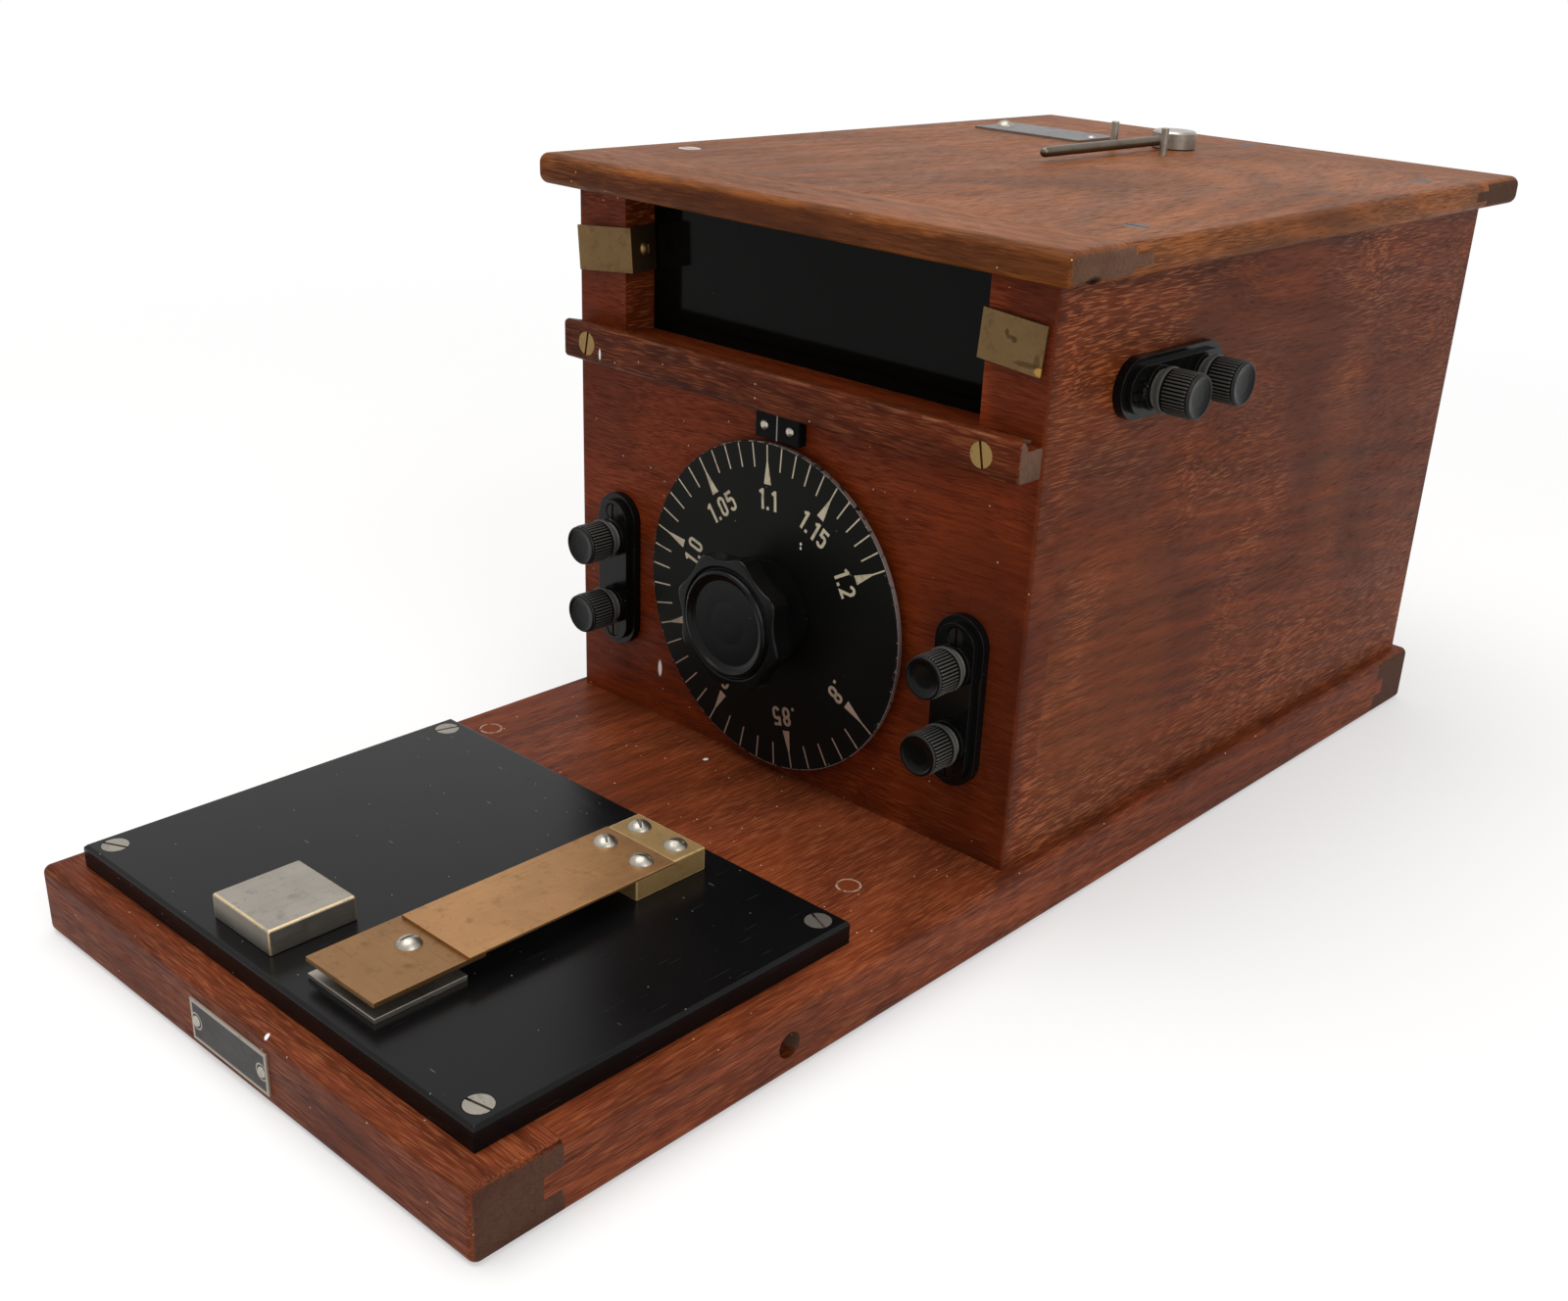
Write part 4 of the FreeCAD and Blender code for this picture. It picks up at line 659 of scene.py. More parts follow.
# Looks of the metal parts, by node. grain is the axis that fine scratches follow, dark is how dark the
# stains are, and arris is the tone of rubbed edges
METALS = {
    "lid_screws": dict(tone="steel", rough=0.45, stain=0.6),
    "spring_clips": dict(tone="clip_brass", rough=0.46, dark=0.4),
    "brass_screws": dict(tone="brass", factor=0.6, rough=0.36, stain=0.5),
    "escutcheon_pins": dict(tone="nickel", rough=0.3, stain=0.4),
    "dial_shaft": dict(tone="nickel", rough=0.3, stain=0.3, grain=1),
    "terminal_screws": dict(tone="steel", factor=0.25, rough=0.4, stain=0.5),
    "terminal_studs": dict(tone="brass", rough=0.3, stain=0.4),
    "stud_nuts": dict(tone="brass", rough=0.3, stain=0.4),
    "panel_screws": dict(tone="nickel", factor=0.62, rough=0.38, stain=0.6),
    "contact_block": dict(tone="nickel", factor=0.62, rough=0.42, stain=0.5, grain=1, dark=0.40,
                          arris=BLOCK_ARRIS),
    "lower_contact_plate": dict(tone="nickel", factor=0.8, rough=0.36, grain=0),
    "key_block": dict(tone="brass", factor=0.72, rough=0.40, grain=0, dark=0.45, arris=CLAMP_ARRIS,
                      metallic=0.55),
    "round_head_screws": dict(tone="nickel", factor=0.75, stain=0.55),
    "key_contact": dict(tone="nickel", factor=0.7, stain=0.5),
    "key_pad": dict(tone="bronze", factor=0.56, rough=0.40, stain=0.5, grain=0),
    "key_strip": dict(tone="bronze", factor=0.92, rough=0.38, grain=1),
    "lever_hub": dict(tone="nickel", factor=0.75, rough=0.28, stain=0.4),
    "lever_rod": dict(tone="rod_steel", stain=0.5, grain=1),
    "stop_pins": dict(tone="nickel", factor=0.75, rough=0.28, stain=0.35),
    "blank_tag": dict(tone="tag_metal", rough=0.5, grain=0, metallic=0.8),
    "galv_magnet": dict(tone="steel", factor=2.2, rough=0.42, stain=0.5, grain=2),
    "galv_coil": dict(tone=COPPER, rough=0.32, stain=0.3, grain=0),
    "galv_mirror": dict(tone=SILVER, rough=0.12, stain=0.1),
    "wiper_arm": dict(tone="brass", rough=0.32, stain=0.35, grain=0),
    "shaft_bushing": dict(tone="brass", rough=0.32, stain=0.3),
}


def old_metal(node, tone, factor=1.0, rough=0.34, stain=0.45, grain=None, dark=0.25, arris=None,
              metallic=1.0):
    """Worn metal with stains, pits and fine scratches. The tone is a colour or the name of one."""
    paint = Paint(node.replace("_", " ") + " metal")
    tone = tone_of(tone, factor) if isinstance(tone, str) else tone
    patches = paint.noise(190.0, 4.0, 0.68)
    rates = [1500.0] * 3
    if grain is not None:
        rates[grain] = 45.0
    scratches = paint.streaks(paint.spot, rates)
    pits = paint.step(paint.noise(800.0), 0.66, 0.76)
    paint.mottle(paint.noise(55.0, 4.0, 0.62), tone, 0.70, 1.22)
    paint.lay(paint.step(patches, 0.52, 0.74) * stain, shade(tone, dark))
    paint.lay(paint.step(scratches, 0.58, 0.74) * 0.4, shade(tone, 0.45))
    paint.lay(pits * stain, shade(tone, dark * 0.7))
    if arris is not None:
        bright = paint.step(paint.edge_distance(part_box(node)), 0.75 * MM, 0.3 * MM)
        paint.lay(bright * paint.step(patches, 0.30, 0.50) * 0.8, arris)
    paint.marks(node)
    paint.bump(scratches * 0.5 - pits, 0.03 * MM, 0.4)
    return paint.surface(metallic=metallic, roughness=rough + patches * 0.22 + scratches * 0.12 - 0.12)


# The plate on the base: the width of its bright rim, and the ring round each pin by its radius
PLATE_RIM = 1.0 * MM
PLATE_PIN_IN = 2.6 * MM
PLATE_RING = 2.4 * MM
PLATE_RING_HALF = 0.25 * MM
PLATE_SOFT = 0.15 * MM
PLATE_BRIGHT = (0.36, 0.32, 0.27)
PLATE_DARK = (0.020, 0.020, 0.020)
PLATE_GREY = (0.075, 0.073, 0.068)


def rimmed_plate():
    """Blackened plate with a bright rim and a bright ring round each pin. Its field is bare."""
    paint = Paint("nameplate metal")
    lo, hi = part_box("blank_nameplate")
    middle = (lo + hi) / 2
    half = (hi - lo) / 2
    right = abs(paint.spot[0] - middle.x)
    up = paint.spot[2] - middle.z
    edge = paint.least(half.x - right, half.z - abs(up))
    radius = paint.reach(right - (half.x - PLATE_PIN_IN), up)
    ring = paint.under(abs(radius - PLATE_RING), PLATE_RING_HALF, PLATE_SOFT)
    rim = paint.under(edge, PLATE_RIM, PLATE_SOFT)
    wear = paint.noise(700.0, 3.0, 0.7)
    bright = paint.most(rim, ring) * paint.step(wear, 0.25, 0.42)
    paint.body = paint.mix(paint.noise(160.0, 4.0, 0.65), PLATE_DARK, PLATE_GREY)
    paint.lay(bright, PLATE_BRIGHT)
    paint.bump(bright, 0.08 * MM, 0.6)
    return paint.surface(metallic=bright * 0.8, roughness=0.42 + wear * 0.2, specular_ior_level=BLACK_GLOSS)


# Glass and windings

GLASS_SHADE_BLACK = (0.003, 0.003, 0.0025)
GLASS_DUST = (0.10, 0.095, 0.085)
BULB_FILM = (0.85, 0.86, 0.84)
BULB_CLEAR = (0.95, 0.95, 0.93)
GREEN_SILK = (0.05, 0.11, 0.045)
SILK_PITCH = 0.9 * MM


def shade_black_glass():
    """Window glass painted nearly black, as painted shade for the dark inside of the case."""
    paint = Paint("window glass")
    # Painted shade: a near-black glass stands in for the dark inside of the case
    paint.body = paint.mix(paint.specks(260.0, 0.07, 0.05) * 0.4, GLASS_SHADE_BLACK, GLASS_DUST)
    return paint.surface(roughness=0.06 + paint.noise(24.0, 4.0, 0.6) * 0.07, transmission_weight=0.1,
                         specular_ior_level=GLASS_GLOSS)


def bulb_glass():
    paint = Paint("lamp glass")
    film = paint.noise(300.0, 3.0)
    paint.body = paint.mix(film, BULB_FILM, BULB_CLEAR)
    return paint.surface(roughness=0.04 + film * 0.08, transmission_weight=0.9)


def wound_silk():
    """Fine windings that lie side by side round an upright spool."""
    paint = Paint("green silk winding")
    turns = paint.wave(paint.spot[2], SILK_PITCH) * 0.5 + 0.5
    cloud = paint.noise(150.0, 3.0)
    paint.mottle(turns, GREEN_SILK, 0.35, 1.1)
    paint.lay(cloud * 0.4, shade(GREEN_SILK, 0.6))
    paint.bump(turns, 0.1 * MM, 0.8)
    return paint.surface(roughness=0.55 + cloud * 0.2)


# Meshes

EASE_TURN = math.radians(34.0)
FLAT_TURN = math.radians(0.8)
WELD = 0.002 * MM
LEAST_EDGE = 0.8
LONGEST_ARM = 0.45


def to_mesh(work, name, sharp=EASE_TURN):
    """Turns a bmesh into a smooth-shaded mesh whose flat faces keep their own direction."""
    for face in work.faces:
        face.smooth = True
    mesh = bpy.data.meshes.new(name)
    work.to_mesh(mesh)
    work.free()
    mesh.set_sharp_from_angle(angle=sharp)
    holder = bpy.data.objects.new(name, mesh)
    bpy.context.collection.objects.link(holder)
    weigh = holder.modifiers.new("Weigh faces", "WEIGHTED_NORMAL")
    weigh.keep_sharp = True
    graph = bpy.context.evaluated_depsgraph_get()
    final = bpy.data.meshes.new_from_object(holder.evaluated_get(graph))
    holder.modifiers.clear()
    holder.data = final
    bpy.data.meshes.remove(mesh)
    return holder


def set_piece(piece, material, body, slot, *nodes):
    """Gives a new piece its material and its body, and hides the nodes that it stands for.

    slot is not used.
    """
    piece.data.materials.clear()
    piece.data.materials.append(material)
    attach(piece, body)
    if nodes:
        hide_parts(*nodes)
    return piece


def dress(node, material):
    """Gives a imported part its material."""
    part = frame["nodes"][node]
    part.data.materials.clear()
    part.data.materials.append(material)


def eased(node, width, material, seam=None):
    """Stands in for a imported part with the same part, its sharp outer edges eased.

    A seam is the place along Y of an upright joint between two boards. Edges that lie in it stay sharp.
    """
    work = bmesh.new()
    work.from_mesh(frame["nodes"][node].data)
    bmesh.ops.remove_doubles(work, verts=work.verts, dist=WELD)
    bmesh.ops.dissolve_limit(work, angle_limit=FLAT_TURN, verts=work.verts, edges=work.edges)
    corners = []
    for edge in work.edges:
        if edge.is_manifold and edge.is_convex and edge.calc_face_angle(0.0) > EASE_TURN:
            in_seam = seam is not None and all(abs(vertex.co.y - seam) < WELD for vertex in edge.verts)
            if edge.calc_length() > width * LEAST_EDGE and not in_seam:
                corners.append(edge)
    bmesh.ops.bevel(work, geom=corners, offset=width, offset_type="OFFSET", segments=2,
                    profile=0.5, affect="EDGES", clamp_overlap=True)
    piece = to_mesh(work, node + "_eased")
    return set_piece(piece, material, BODY_OF[node], SLOT_OF[node], node)


def outward(position, out, along):
    """A frame whose Z points out and whose X points along, as the part's own source places things."""
    z = Vector(out).normalized()
    x = Vector(along).normalized()
    y = z.cross(x)
    turn = Matrix((x, y, z)).transposed().to_4x4()
    return Matrix.Translation(position) @ turn


def softened(profile, reach, steps=3):
    """A profile with its inner corners rounded. A point is a radius, a height and a wave depth."""
    points = [profile[0]]
    for before, corner, after in zip(profile, profile[1:], profile[2:]):
        corner_at = Vector(corner)
        arms = []
        for end in (before, after):
            arm = Vector(end) - corner_at
            arms.append(corner_at + arm * min(LONGEST_ARM, reach / max(arm.length, NO_LENGTH)))
        for i in range(steps + 1):
            t = i / steps
            points.append(tuple(arms[0] * (1 - t) ** 2 + corner_at * 2 * t * (1 - t) + arms[1] * t ** 2))
    points.append(profile[-1])
    return points


def turned(profile, sides, place, wave=None):
    """A lathe shape, closed at both ends, whose radius can follow a wave round the axis."""
    work = bmesh.new()
    loops = []
    for radius, height, depth in profile:
        loop = []
        for i in range(sides):
            angle = math.tau * i / sides
            reach = radius + (depth * wave(angle) if wave else 0.0)
            point = Vector((reach * math.cos(angle), reach * math.sin(angle), height))
            loop.append(work.verts.new(place @ point))
        loops.append(loop)
    for low, high in zip(loops, loops[1:]):
        for i in range(sides):
            j = (i + 1) % sides
            work.faces.new((low[i], low[j], high[j], high[i]))
    work.faces.new(reversed(loops[0]))
    work.faces.new(loops[-1])
    return work


def in_mm(*points):
    """Profile points given in millimetres, as metres. A missing wave depth is nought."""
    return [tuple(part * MM for part in (*point, 0.0)[:3]) for point in points]


# Pieces

KNOB_PROFILE = in_mm(
    (1.0, 0.0), (17.3, 0.0), (17.6, 0.4), (17.8, 2.8), (18.3, 5.4, 0.2), (19.3, 8.4, 0.6), (20.6, 11.0, 1.05),
    (21.5, 12.8, 1.3), (21.5, 18.9, 1.3), (21.0, 19.45, 1.2), (18.7, 19.5), (18.1, 18.9), (17.7, 18.9),
    (17.4, 20.2), (17.1, 20.7), (16.3, 20.8), (15.9, 20.4), (15.5, 19.9), (14.7, 19.6), (14.3, 19.2),
    (7.0, 18.9), (0.4, 18.8))
THUMB_PROFILE = in_mm(
    (3.0, 0.0), (5.8, 0.0), (5.8, 0.7), (5.35, 0.85), (5.35, 1.15), (5.8, 1.3), (5.8, 1.9), (6.9, 2.0),
    (7.0, 2.3), (7.0, 3.2), (6.8, 3.5), (6.1, 3.6), (6.2, 3.9), (6.4, 4.3, 0.32), (6.5, 11.6, 0.32),
    (6.3, 12.0), (6.6, 12.2), (6.65, 12.8), (6.3, 13.1), (5.8, 13.1), (5.3, 12.75), (3.4, 12.35), (0.3, 12.2))
THUMB_SOFT = 0.18 * MM
KNOB_SOFT = 0.35 * MM
RIB_POINTS = 8
LOBE_POINTS = 24
LOBE_TURN = math.radians(31.0)
TURNED_SHARP = math.radians(50.0)

# How far a thumb nut's ribs reach out and its collar stands up, which its material follows
RIB_CREST = 6.8 * MM
COLLAR_RISE = 2.0 * MM


def rib_wave(ribs):
    """A ribbed edge with narrow valleys."""
    return lambda angle: 1.0 - 2.0 * abs(math.sin(ribs * angle / 2)) ** 6


def lobe_wave(lobes):
    """A scalloped edge whose hollows are a little wider than its lobes."""
    def wave(angle):
        turn = lobes * (angle - LOBE_TURN)
        return math.cos(turn) * 0.88 + math.cos(2 * turn) * 0.12
    return wave


def thumb_nut(node, out, along, material):
    """Ribbed thumb nut with a collar, a flange and a dished face."""
    lo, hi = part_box(node)
    middle = (lo + hi) / 2
    half = (hi - lo) / 2
    back = middle - Vector(out) * abs(half.dot(Vector(out)))
    ribs = bpy.context.scene.bridge_sizes.thumb_ribs
    profile = softened(THUMB_PROFILE, THUMB_SOFT, 2)
    work = turned(profile, ribs * RIB_POINTS, outward(back, out, along), rib_wave(ribs))
    piece = to_mesh(work, node + "_ribbed", TURNED_SHARP)
    set_piece(piece, material, BODY_OF[node], SLOT_OF[node], node)


def lobed_knob(material):
    """The dial's knob, whose lobes grow towards its face."""
    lobes = bpy.context.scene.bridge_sizes.knob_lobes
    place = outward((DIAL_CENTRE.x, DIAL_FACE, DIAL_CENTRE.z), (0, -1, 0), (1, 0, 0))
    work = turned(softened(KNOB_PROFILE, KNOB_SOFT), lobes * LOBE_POINTS, place, lobe_wave(lobes))
    piece = to_mesh(work, "dial_knob_lobed", TURNED_SHARP)
    set_piece(piece, material, BODY_OF["dial_knob"], SLOT_OF["dial_knob"], "dial_knob")


# The dial's scale. Its swing is what the dial would turn over the whole of the slide wire, in degrees

SCALE_AT_TOP = 1.1
SCALE_TOP_ANGLE = -3.2
SCALE_SWING = 2958.0
SCALE_FIRST = 80
SCALE_LAST = 120
SCALE_MAJOR = 5
SCALE_RADIUS = DIAL_RADIUS - 0.5 * MM


def scale_angle(hundredths):
    """Clockwise angle of a ratio on the dial, from the share of the slide wire that it stands for."""
    ratio = hundredths / 100
    share = ratio / (1.0 + ratio) - SCALE_AT_TOP / (1.0 + SCALE_AT_TOP)
    return math.radians(SCALE_TOP_ANGLE + SCALE_SWING * share)


def dial_slab(work, angle, outline, rise, sink):
    """Adds a thin closed plate of paint to the dial, from an outline of places sideways and radii."""
    outwards = Vector((math.sin(angle), 0.0, math.cos(angle)))
    sideways = Vector((math.cos(angle), 0.0, -math.sin(angle)))
    layers = []
    for height in (rise, -sink):
        centre = Vector((DIAL_CENTRE.x, DIAL_FACE - height, DIAL_CENTRE.z))
        layers.append([work.verts.new(centre + sideways * right + outwards * out) for right, out in outline])
    tops, lows = layers
    work.faces.new(tops)
    work.faces.new(reversed(lows))
    for i in range(len(outline)):
        j = (i + 1) % len(outline)
        work.faces.new((tops[j], tops[i], lows[i], lows[j]))


def dial_marks():
    """Ticks and pointed marks of the scale, as one thin mesh."""
    sizes = bpy.context.scene.bridge_sizes
    half = sizes.tick_width / 2
    wide = sizes.pointer_width / 2
    tick = [(-half, 0.0), (half, 0.0), (half, sizes.tick_length), (-half, sizes.tick_length)]
    pointer = [(-half, 0.0), (half, 0.0), (half, sizes.pointer_stem), (wide, sizes.pointer_length),
               (-wide, sizes.pointer_length), (-half, sizes.pointer_stem)]
    work = bmesh.new()
    for hundredths in range(SCALE_FIRST, SCALE_LAST + 1):
        shape = tick if hundredths % SCALE_MAJOR else pointer
        outline = [(sideways, SCALE_RADIUS - inward) for sideways, inward in shape]
        dial_slab(work, scale_angle(hundredths), outline, sizes.paint_thick, sizes.paint_thick)
    bmesh.ops.recalc_face_normals(work, faces=work.faces)
    return to_mesh(work, "dial_scale_marks")


# Numerals, as shares of their height

STROKE = 0.155
GLYPH_WIDTH = 0.50
GLYPH_GAP = 0.17
LAYER_STEP = 0.3
NO_LENGTH = 1e-6


def arc(centre, radius, start, end, steps=7):
    """Points along an arc, with angles in degrees."""
    points = []
    for i in range(steps + 1):
        angle = math.radians(start + (end - start) * i / steps)
        points.append((centre[0] + radius * math.cos(angle), centre[1] + radius * math.sin(angle)))
    return points


def glyph(sign):
    """Centre lines and width of a narrow numeral of height 1, each line with whether it closes."""
    left = STROKE / 2
    right = GLYPH_WIDTH - STROKE / 2
    low = STROKE / 2
    high = 1 - STROKE / 2
    middle = GLYPH_WIDTH / 2
    bend = (right - left) / 2
    upper = (middle, high - bend)
    lower = (middle, low + bend)
    waist = 0.53
    if sign == ".":
        return [([(left, 0.0), (left, STROKE)], False)], STROKE
    if sign == "1":
        stem = 0.24
        return [([(stem, 0.0), (stem, 1.0)], False), ([(0.04, 0.80), (stem, 0.93)], False)], stem + STROKE / 2
    if sign == "0":
        return [(arc(upper, bend, 0, 180) + arc(lower, bend, 180, 360), True)], GLYPH_WIDTH
    if sign == "8":
        top = arc(upper, bend, 0, 180) + arc((middle, waist + bend), bend, 180, 360)
        bottom = arc((middle, waist - bend), bend, 0, 180) + arc(lower, bend, 180, 360)
        return [(top, True), (bottom, True)], GLYPH_WIDTH
    if sign == "9":
        loop = arc(upper, bend, 0, 180) + arc((middle, 0.45 + bend), bend, 180, 360)
        tail = [(right, high - bend)] + arc(lower, bend, 0, -170)
        return [(loop, True), (tail, False)], GLYPH_WIDTH
    if sign == "5":
        flag = [(right + low / 2, high), (left, high), (left, waist)]
        bowl = arc((middle, 0.62 - bend), bend, 150, 0) + arc(lower, bend, 0, -170)
        return [(flag, False), (bowl, False)], GLYPH_WIDTH
    if sign == "2":
        hook = arc(upper, bend, 175, 0) + [(right, 0.60), (left, low), (right + low / 2, low)]
        return [(hook, False)], GLYPH_WIDTH
    raise ValueError(f"no numeral for {sign}")


def ribbon(points, closed, width):
    """The two sides of a flat ribbon along a centre line, with mitred corners."""
    count = len(points)
    sides = ([], [])
    for i, point in enumerate(points):
        here = Vector(point)
        before = Vector(points[i - 1]) if closed or i else None
        after = Vector(points[(i + 1) % count]) if closed or i < count - 1 else None
        steps = []
        if before is not None and (here - before).length > NO_LENGTH:
            steps.append((here - before).normalized())
        if after is not None and (after - here).length > NO_LENGTH:
            steps.append((after - here).normalized())
        normals = [Vector((-step.y, step.x)) for step in steps]
        normal = sum(normals, Vector((0.0, 0.0))).normalized()
        reach = width / 2 / max(0.5, normal.dot(normals[0]))
        sides[0].append(here + normal * reach)
        sides[1].append(here - normal * reach)
    return sides


def dial_numerals():
    """The scale's plain numbers, tops to the rim, as one thin mesh.

    Each further line of a numeral lies a little lower, so that lines that cross don't share a face.
    """
    sizes = bpy.context.scene.bridge_sizes
    height = sizes.numeral_height
    base = SCALE_RADIUS - sizes.pointer_length - sizes.numeral_gap - height
    work = bmesh.new()
    for hundredths in range(SCALE_FIRST, SCALE_LAST + 1, SCALE_MAJOR):
        text = "1.0" if hundredths == 100 else f"{hundredths / 100:g}".lstrip("0")
        glyphs = [glyph(sign) for sign in text]
        total = sum(width for lines, width in glyphs) + GLYPH_GAP * (len(glyphs) - 1)
        pen = -total / 2
        for lines, width in glyphs:
            for layer, (points, closed) in enumerate(lines):
                rise = sizes.paint_thick * (1.0 - LAYER_STEP * layer)
                left, right = ribbon(points, closed, STROKE)
                for i in range(len(points) if closed else len(points) - 1):
                    j = (i + 1) % len(points)
                    if max((left[i] - left[j]).length, (right[i] - right[j]).length) < NO_LENGTH:
                        continue
                    quad = (left[i], left[j], right[j], right[i])
                    outline = [((pen + corner.x) * height, base + corner.y * height) for corner in quad]
                    dial_slab(work, scale_angle(hundredths), outline, rise, sizes.paint_thick)
            pen += width + GLYPH_GAP
    bmesh.ops.recalc_face_normals(work, faces=work.faces)
    return to_mesh(work, "dial_numerals")


SPRING_CORNER = 0.18 * MM
SPRING_STEP = 1.2 * MM
BEND_START = 1.0 * MM
BEND_REACH = 9.0 * MM


def key_spring(material):
    """The key's flat spring, one straight strip from its clamped root to its free end."""
    lo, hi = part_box("key_strip")
    section = []
    for right, top in ((True, False), (True, True), (False, True), (False, False)):
        x = hi.x if right else lo.x
        z = hi.z if top else lo.z
        dx = -SPRING_CORNER if right else SPRING_CORNER
        dz = -SPRING_CORNER if top else SPRING_CORNER
        pair = [(x + dx, z), (x, z + dz)]
        section.extend(reversed(pair) if right == top else pair)
    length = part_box("key_strip_root")[1].y - lo.y
    count = round(length / SPRING_STEP)
    work = bmesh.new()
    loops = []
    for i in range(count + 1):
        y = lo.y + length * i / count
        loops.append([work.verts.new((x, y, z)) for x, z in section])
    for near, far in zip(loops, loops[1:]):
        for i in range(len(section)):
            j = (i + 1) % len(section)
            work.faces.new((near[i], near[j], far[j], far[i]))
    work.faces.new(loops[0])
    work.faces.new(loops[-1])
    bmesh.ops.recalc_face_normals(work, faces=work.faces)
    piece = to_mesh(work, "key_spring")
    piece.data.materials.append(material)
    middle = (lo.x + hi.x) / 2
    hinge_y = JOINT["key_press"]["pos_m"][1]
    start = (middle, hinge_y + BEND_START, lo.z)
    end = (middle, hinge_y - BEND_REACH, lo.z)
    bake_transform(piece)
    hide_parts("key_strip", "key_strip_root")


# Operators

# The way that each pair of thumb nuts faces, and the way that the pair is laid out
TERMINALS = {
    "left": ((0, -1, 0), (0, 0, 1)),
    "right": ((0, -1, 0), (0, 0, 1)),
    "side": ((1, 0, 0), (0, 1, 0)),
}
LID_EASE = 1.8
LEDGE_EASE = 2.0


class Builder:
    """What the operators share."""

    @property
    def sizes(self):
        """The sizes that the sidebar holds."""
        return bpy.context.scene.bridge_sizes

    def boards(self, *nodes, ease=1.0, seam=None):
        """Gives boards their wood, and edges worn to a share of the usual width."""
        for node in nodes:
            eased(node, self.sizes.board_ease * ease, mahogany(node, **BOARDS[node]), seam)

    def metals(self, *nodes):
        """Gives small parts their old metal and a fine round on their edges."""
        for node in nodes:
            eased(node, self.sizes.fine_ease, old_metal(node, **METALS[node]))

    def inner_metals(self, *nodes):
        """Gives parts inside the case their old metal, and leaves their edges sharp."""
        for node in nodes:
            dress(node, old_metal(node, **METALS[node]))


class BRIDGE_OT_base(Builder, bpy.types.Operator):
    """Base board with its end strips, its plugs and the bare plate"""
    bl_idname = "bridge.base"
    bl_label = "Base"

    def execute(self, context):
        self.boards("base_board", "base_front_strip", "base_rear_strip")
        eased("base_plugs", self.sizes.fine_ease, plug_wood())
        eased("blank_nameplate", self.sizes.fine_ease, rimmed_plate())
        return {"FINISHED"}


class BRIDGE_OT_case(Builder, bpy.types.Operator):
    """Walls of the case and the lid with its end strips and screws"""
    bl_idname = "bridge.case"
    bl_label = "Case and lid"

    def execute(self, context):
        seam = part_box("front_panel")[1].y
        self.boards("front_panel", "left_side", "right_side", "rear_panel", seam=seam)
        self.boards("lid_board", "lid_front_strip", "lid_rear_strip", ease=LID_EASE)
        self.metals("lid_screws")
        return {"FINISHED"}


class BRIDGE_OT_window(Builder, bpy.types.Operator):
    """Window glass, its ledge, its clips, the index block and the small screws and pins"""
    bl_idname = "bridge.window"
    bl_label = "Window"

    def execute(self, context):
        self.boards("ledge_strip", ease=LEDGE_EASE)
        dress("window_glass", shade_black_glass())
        self.metals("spring_clips", "brass_screws")
        fibre = black_moulding("index fibre", "ebonite", rough=0.5, dust=0.06, line_at=DIAL_CENTRE.x)
        eased("index_block", self.sizes.part_ease, fibre)
        self.metals("escutcheon_pins")
        return {"FINISHED"}


class BRIDGE_OT_dial(Builder, bpy.types.Operator):
    """Dial disc with its rubbed rim, scale, numerals and lobed knob"""
    bl_idname = "bridge.dial"
    bl_label = "Dial and knob"

    def execute(self, context):
        dress("dial_disc", dial_lacquer())
        cream = cream_paint()
        for piece in (dial_marks(), dial_numerals()):
            set_piece(piece, cream, "dial", "dial_lacquer")
        lobed_knob(black_moulding("knob bakelite", "bakelite", rough=0.14, gloss=MOULD_GLOSS))
        self.inner_metals("dial_shaft")
        return {"FINISHED"}


class BRIDGE_OT_terminals(Builder, bpy.types.Operator):
    """Moulded terminal bases, their screws, studs and ribbed thumb nuts"""
    bl_idname = "bridge.terminals"
    bl_label = "Terminals"

    def execute(self, context):
        black = black_moulding("terminal bakelite", "bakelite", rough=0.10, dust=0.08, gloss=BLACK_GLOSS)
        for name, (out, along) in TERMINALS.items():
            eased(name + "_terminal_base", self.sizes.part_ease, black)
            nuts = [f"{name}_{level}_thumb_nut" for level in ("lower", "upper")]
            boxes = [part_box(nut) for nut in nuts]
            centres = [(lo + hi) / 2 for lo, hi in boxes]
            lo, hi = boxes[0]
            collar = (0, lo.x, 1.0, centres) if out[0] else (1, hi.y, -1.0, centres)
            nut_black = black_moulding(f"{name} thumb nut bakelite", "bakelite", rough=0.14, dust=0.10,
                                       gloss=MOULD_GLOSS, collar=collar)
            for nut in nuts:
                thumb_nut(nut, out, along, nut_black)
        self.metals("terminal_screws")
        self.inner_metals("terminal_studs", "stud_nuts")
        return {"FINISHED"}


class BRIDGE_OT_key(Builder, bpy.types.Operator):
    """Contact panel with its block, plate, screws and the press key"""
    bl_idname = "bridge.key"
    bl_label = "Contact panel and key"

    def execute(self, context):
        ease = self.sizes.part_ease
        panel = black_moulding("panel ebonite", "ebonite", rough=0.15, dust=0.12, scuff=0.4,
                               gloss=BLACK_GLOSS)
        eased("contact_panel", ease, panel)
        self.metals("panel_screws")
        eased("contact_block", ease, old_metal("contact_block", **METALS["contact_block"]))
        self.metals("lower_contact_plate")
        eased("key_block", ease, old_metal("key_block", **METALS["key_block"]))
        self.metals("round_head_screws", "key_contact", "key_pad")
        key_spring(old_metal("key_strip", **METALS["key_strip"]))
        return {"FINISHED"}


class BRIDGE_OT_lever(Builder, bpy.types.Operator):
    """Zero lever on the lid, its stop pins and the bare tag"""
    bl_idname = "bridge.lever"
    bl_label = "Lever and tag"

    def execute(self, context):
        self.metals("lever_hub", "lever_rod", "stop_pins", "blank_tag")
        return {"FINISHED"}


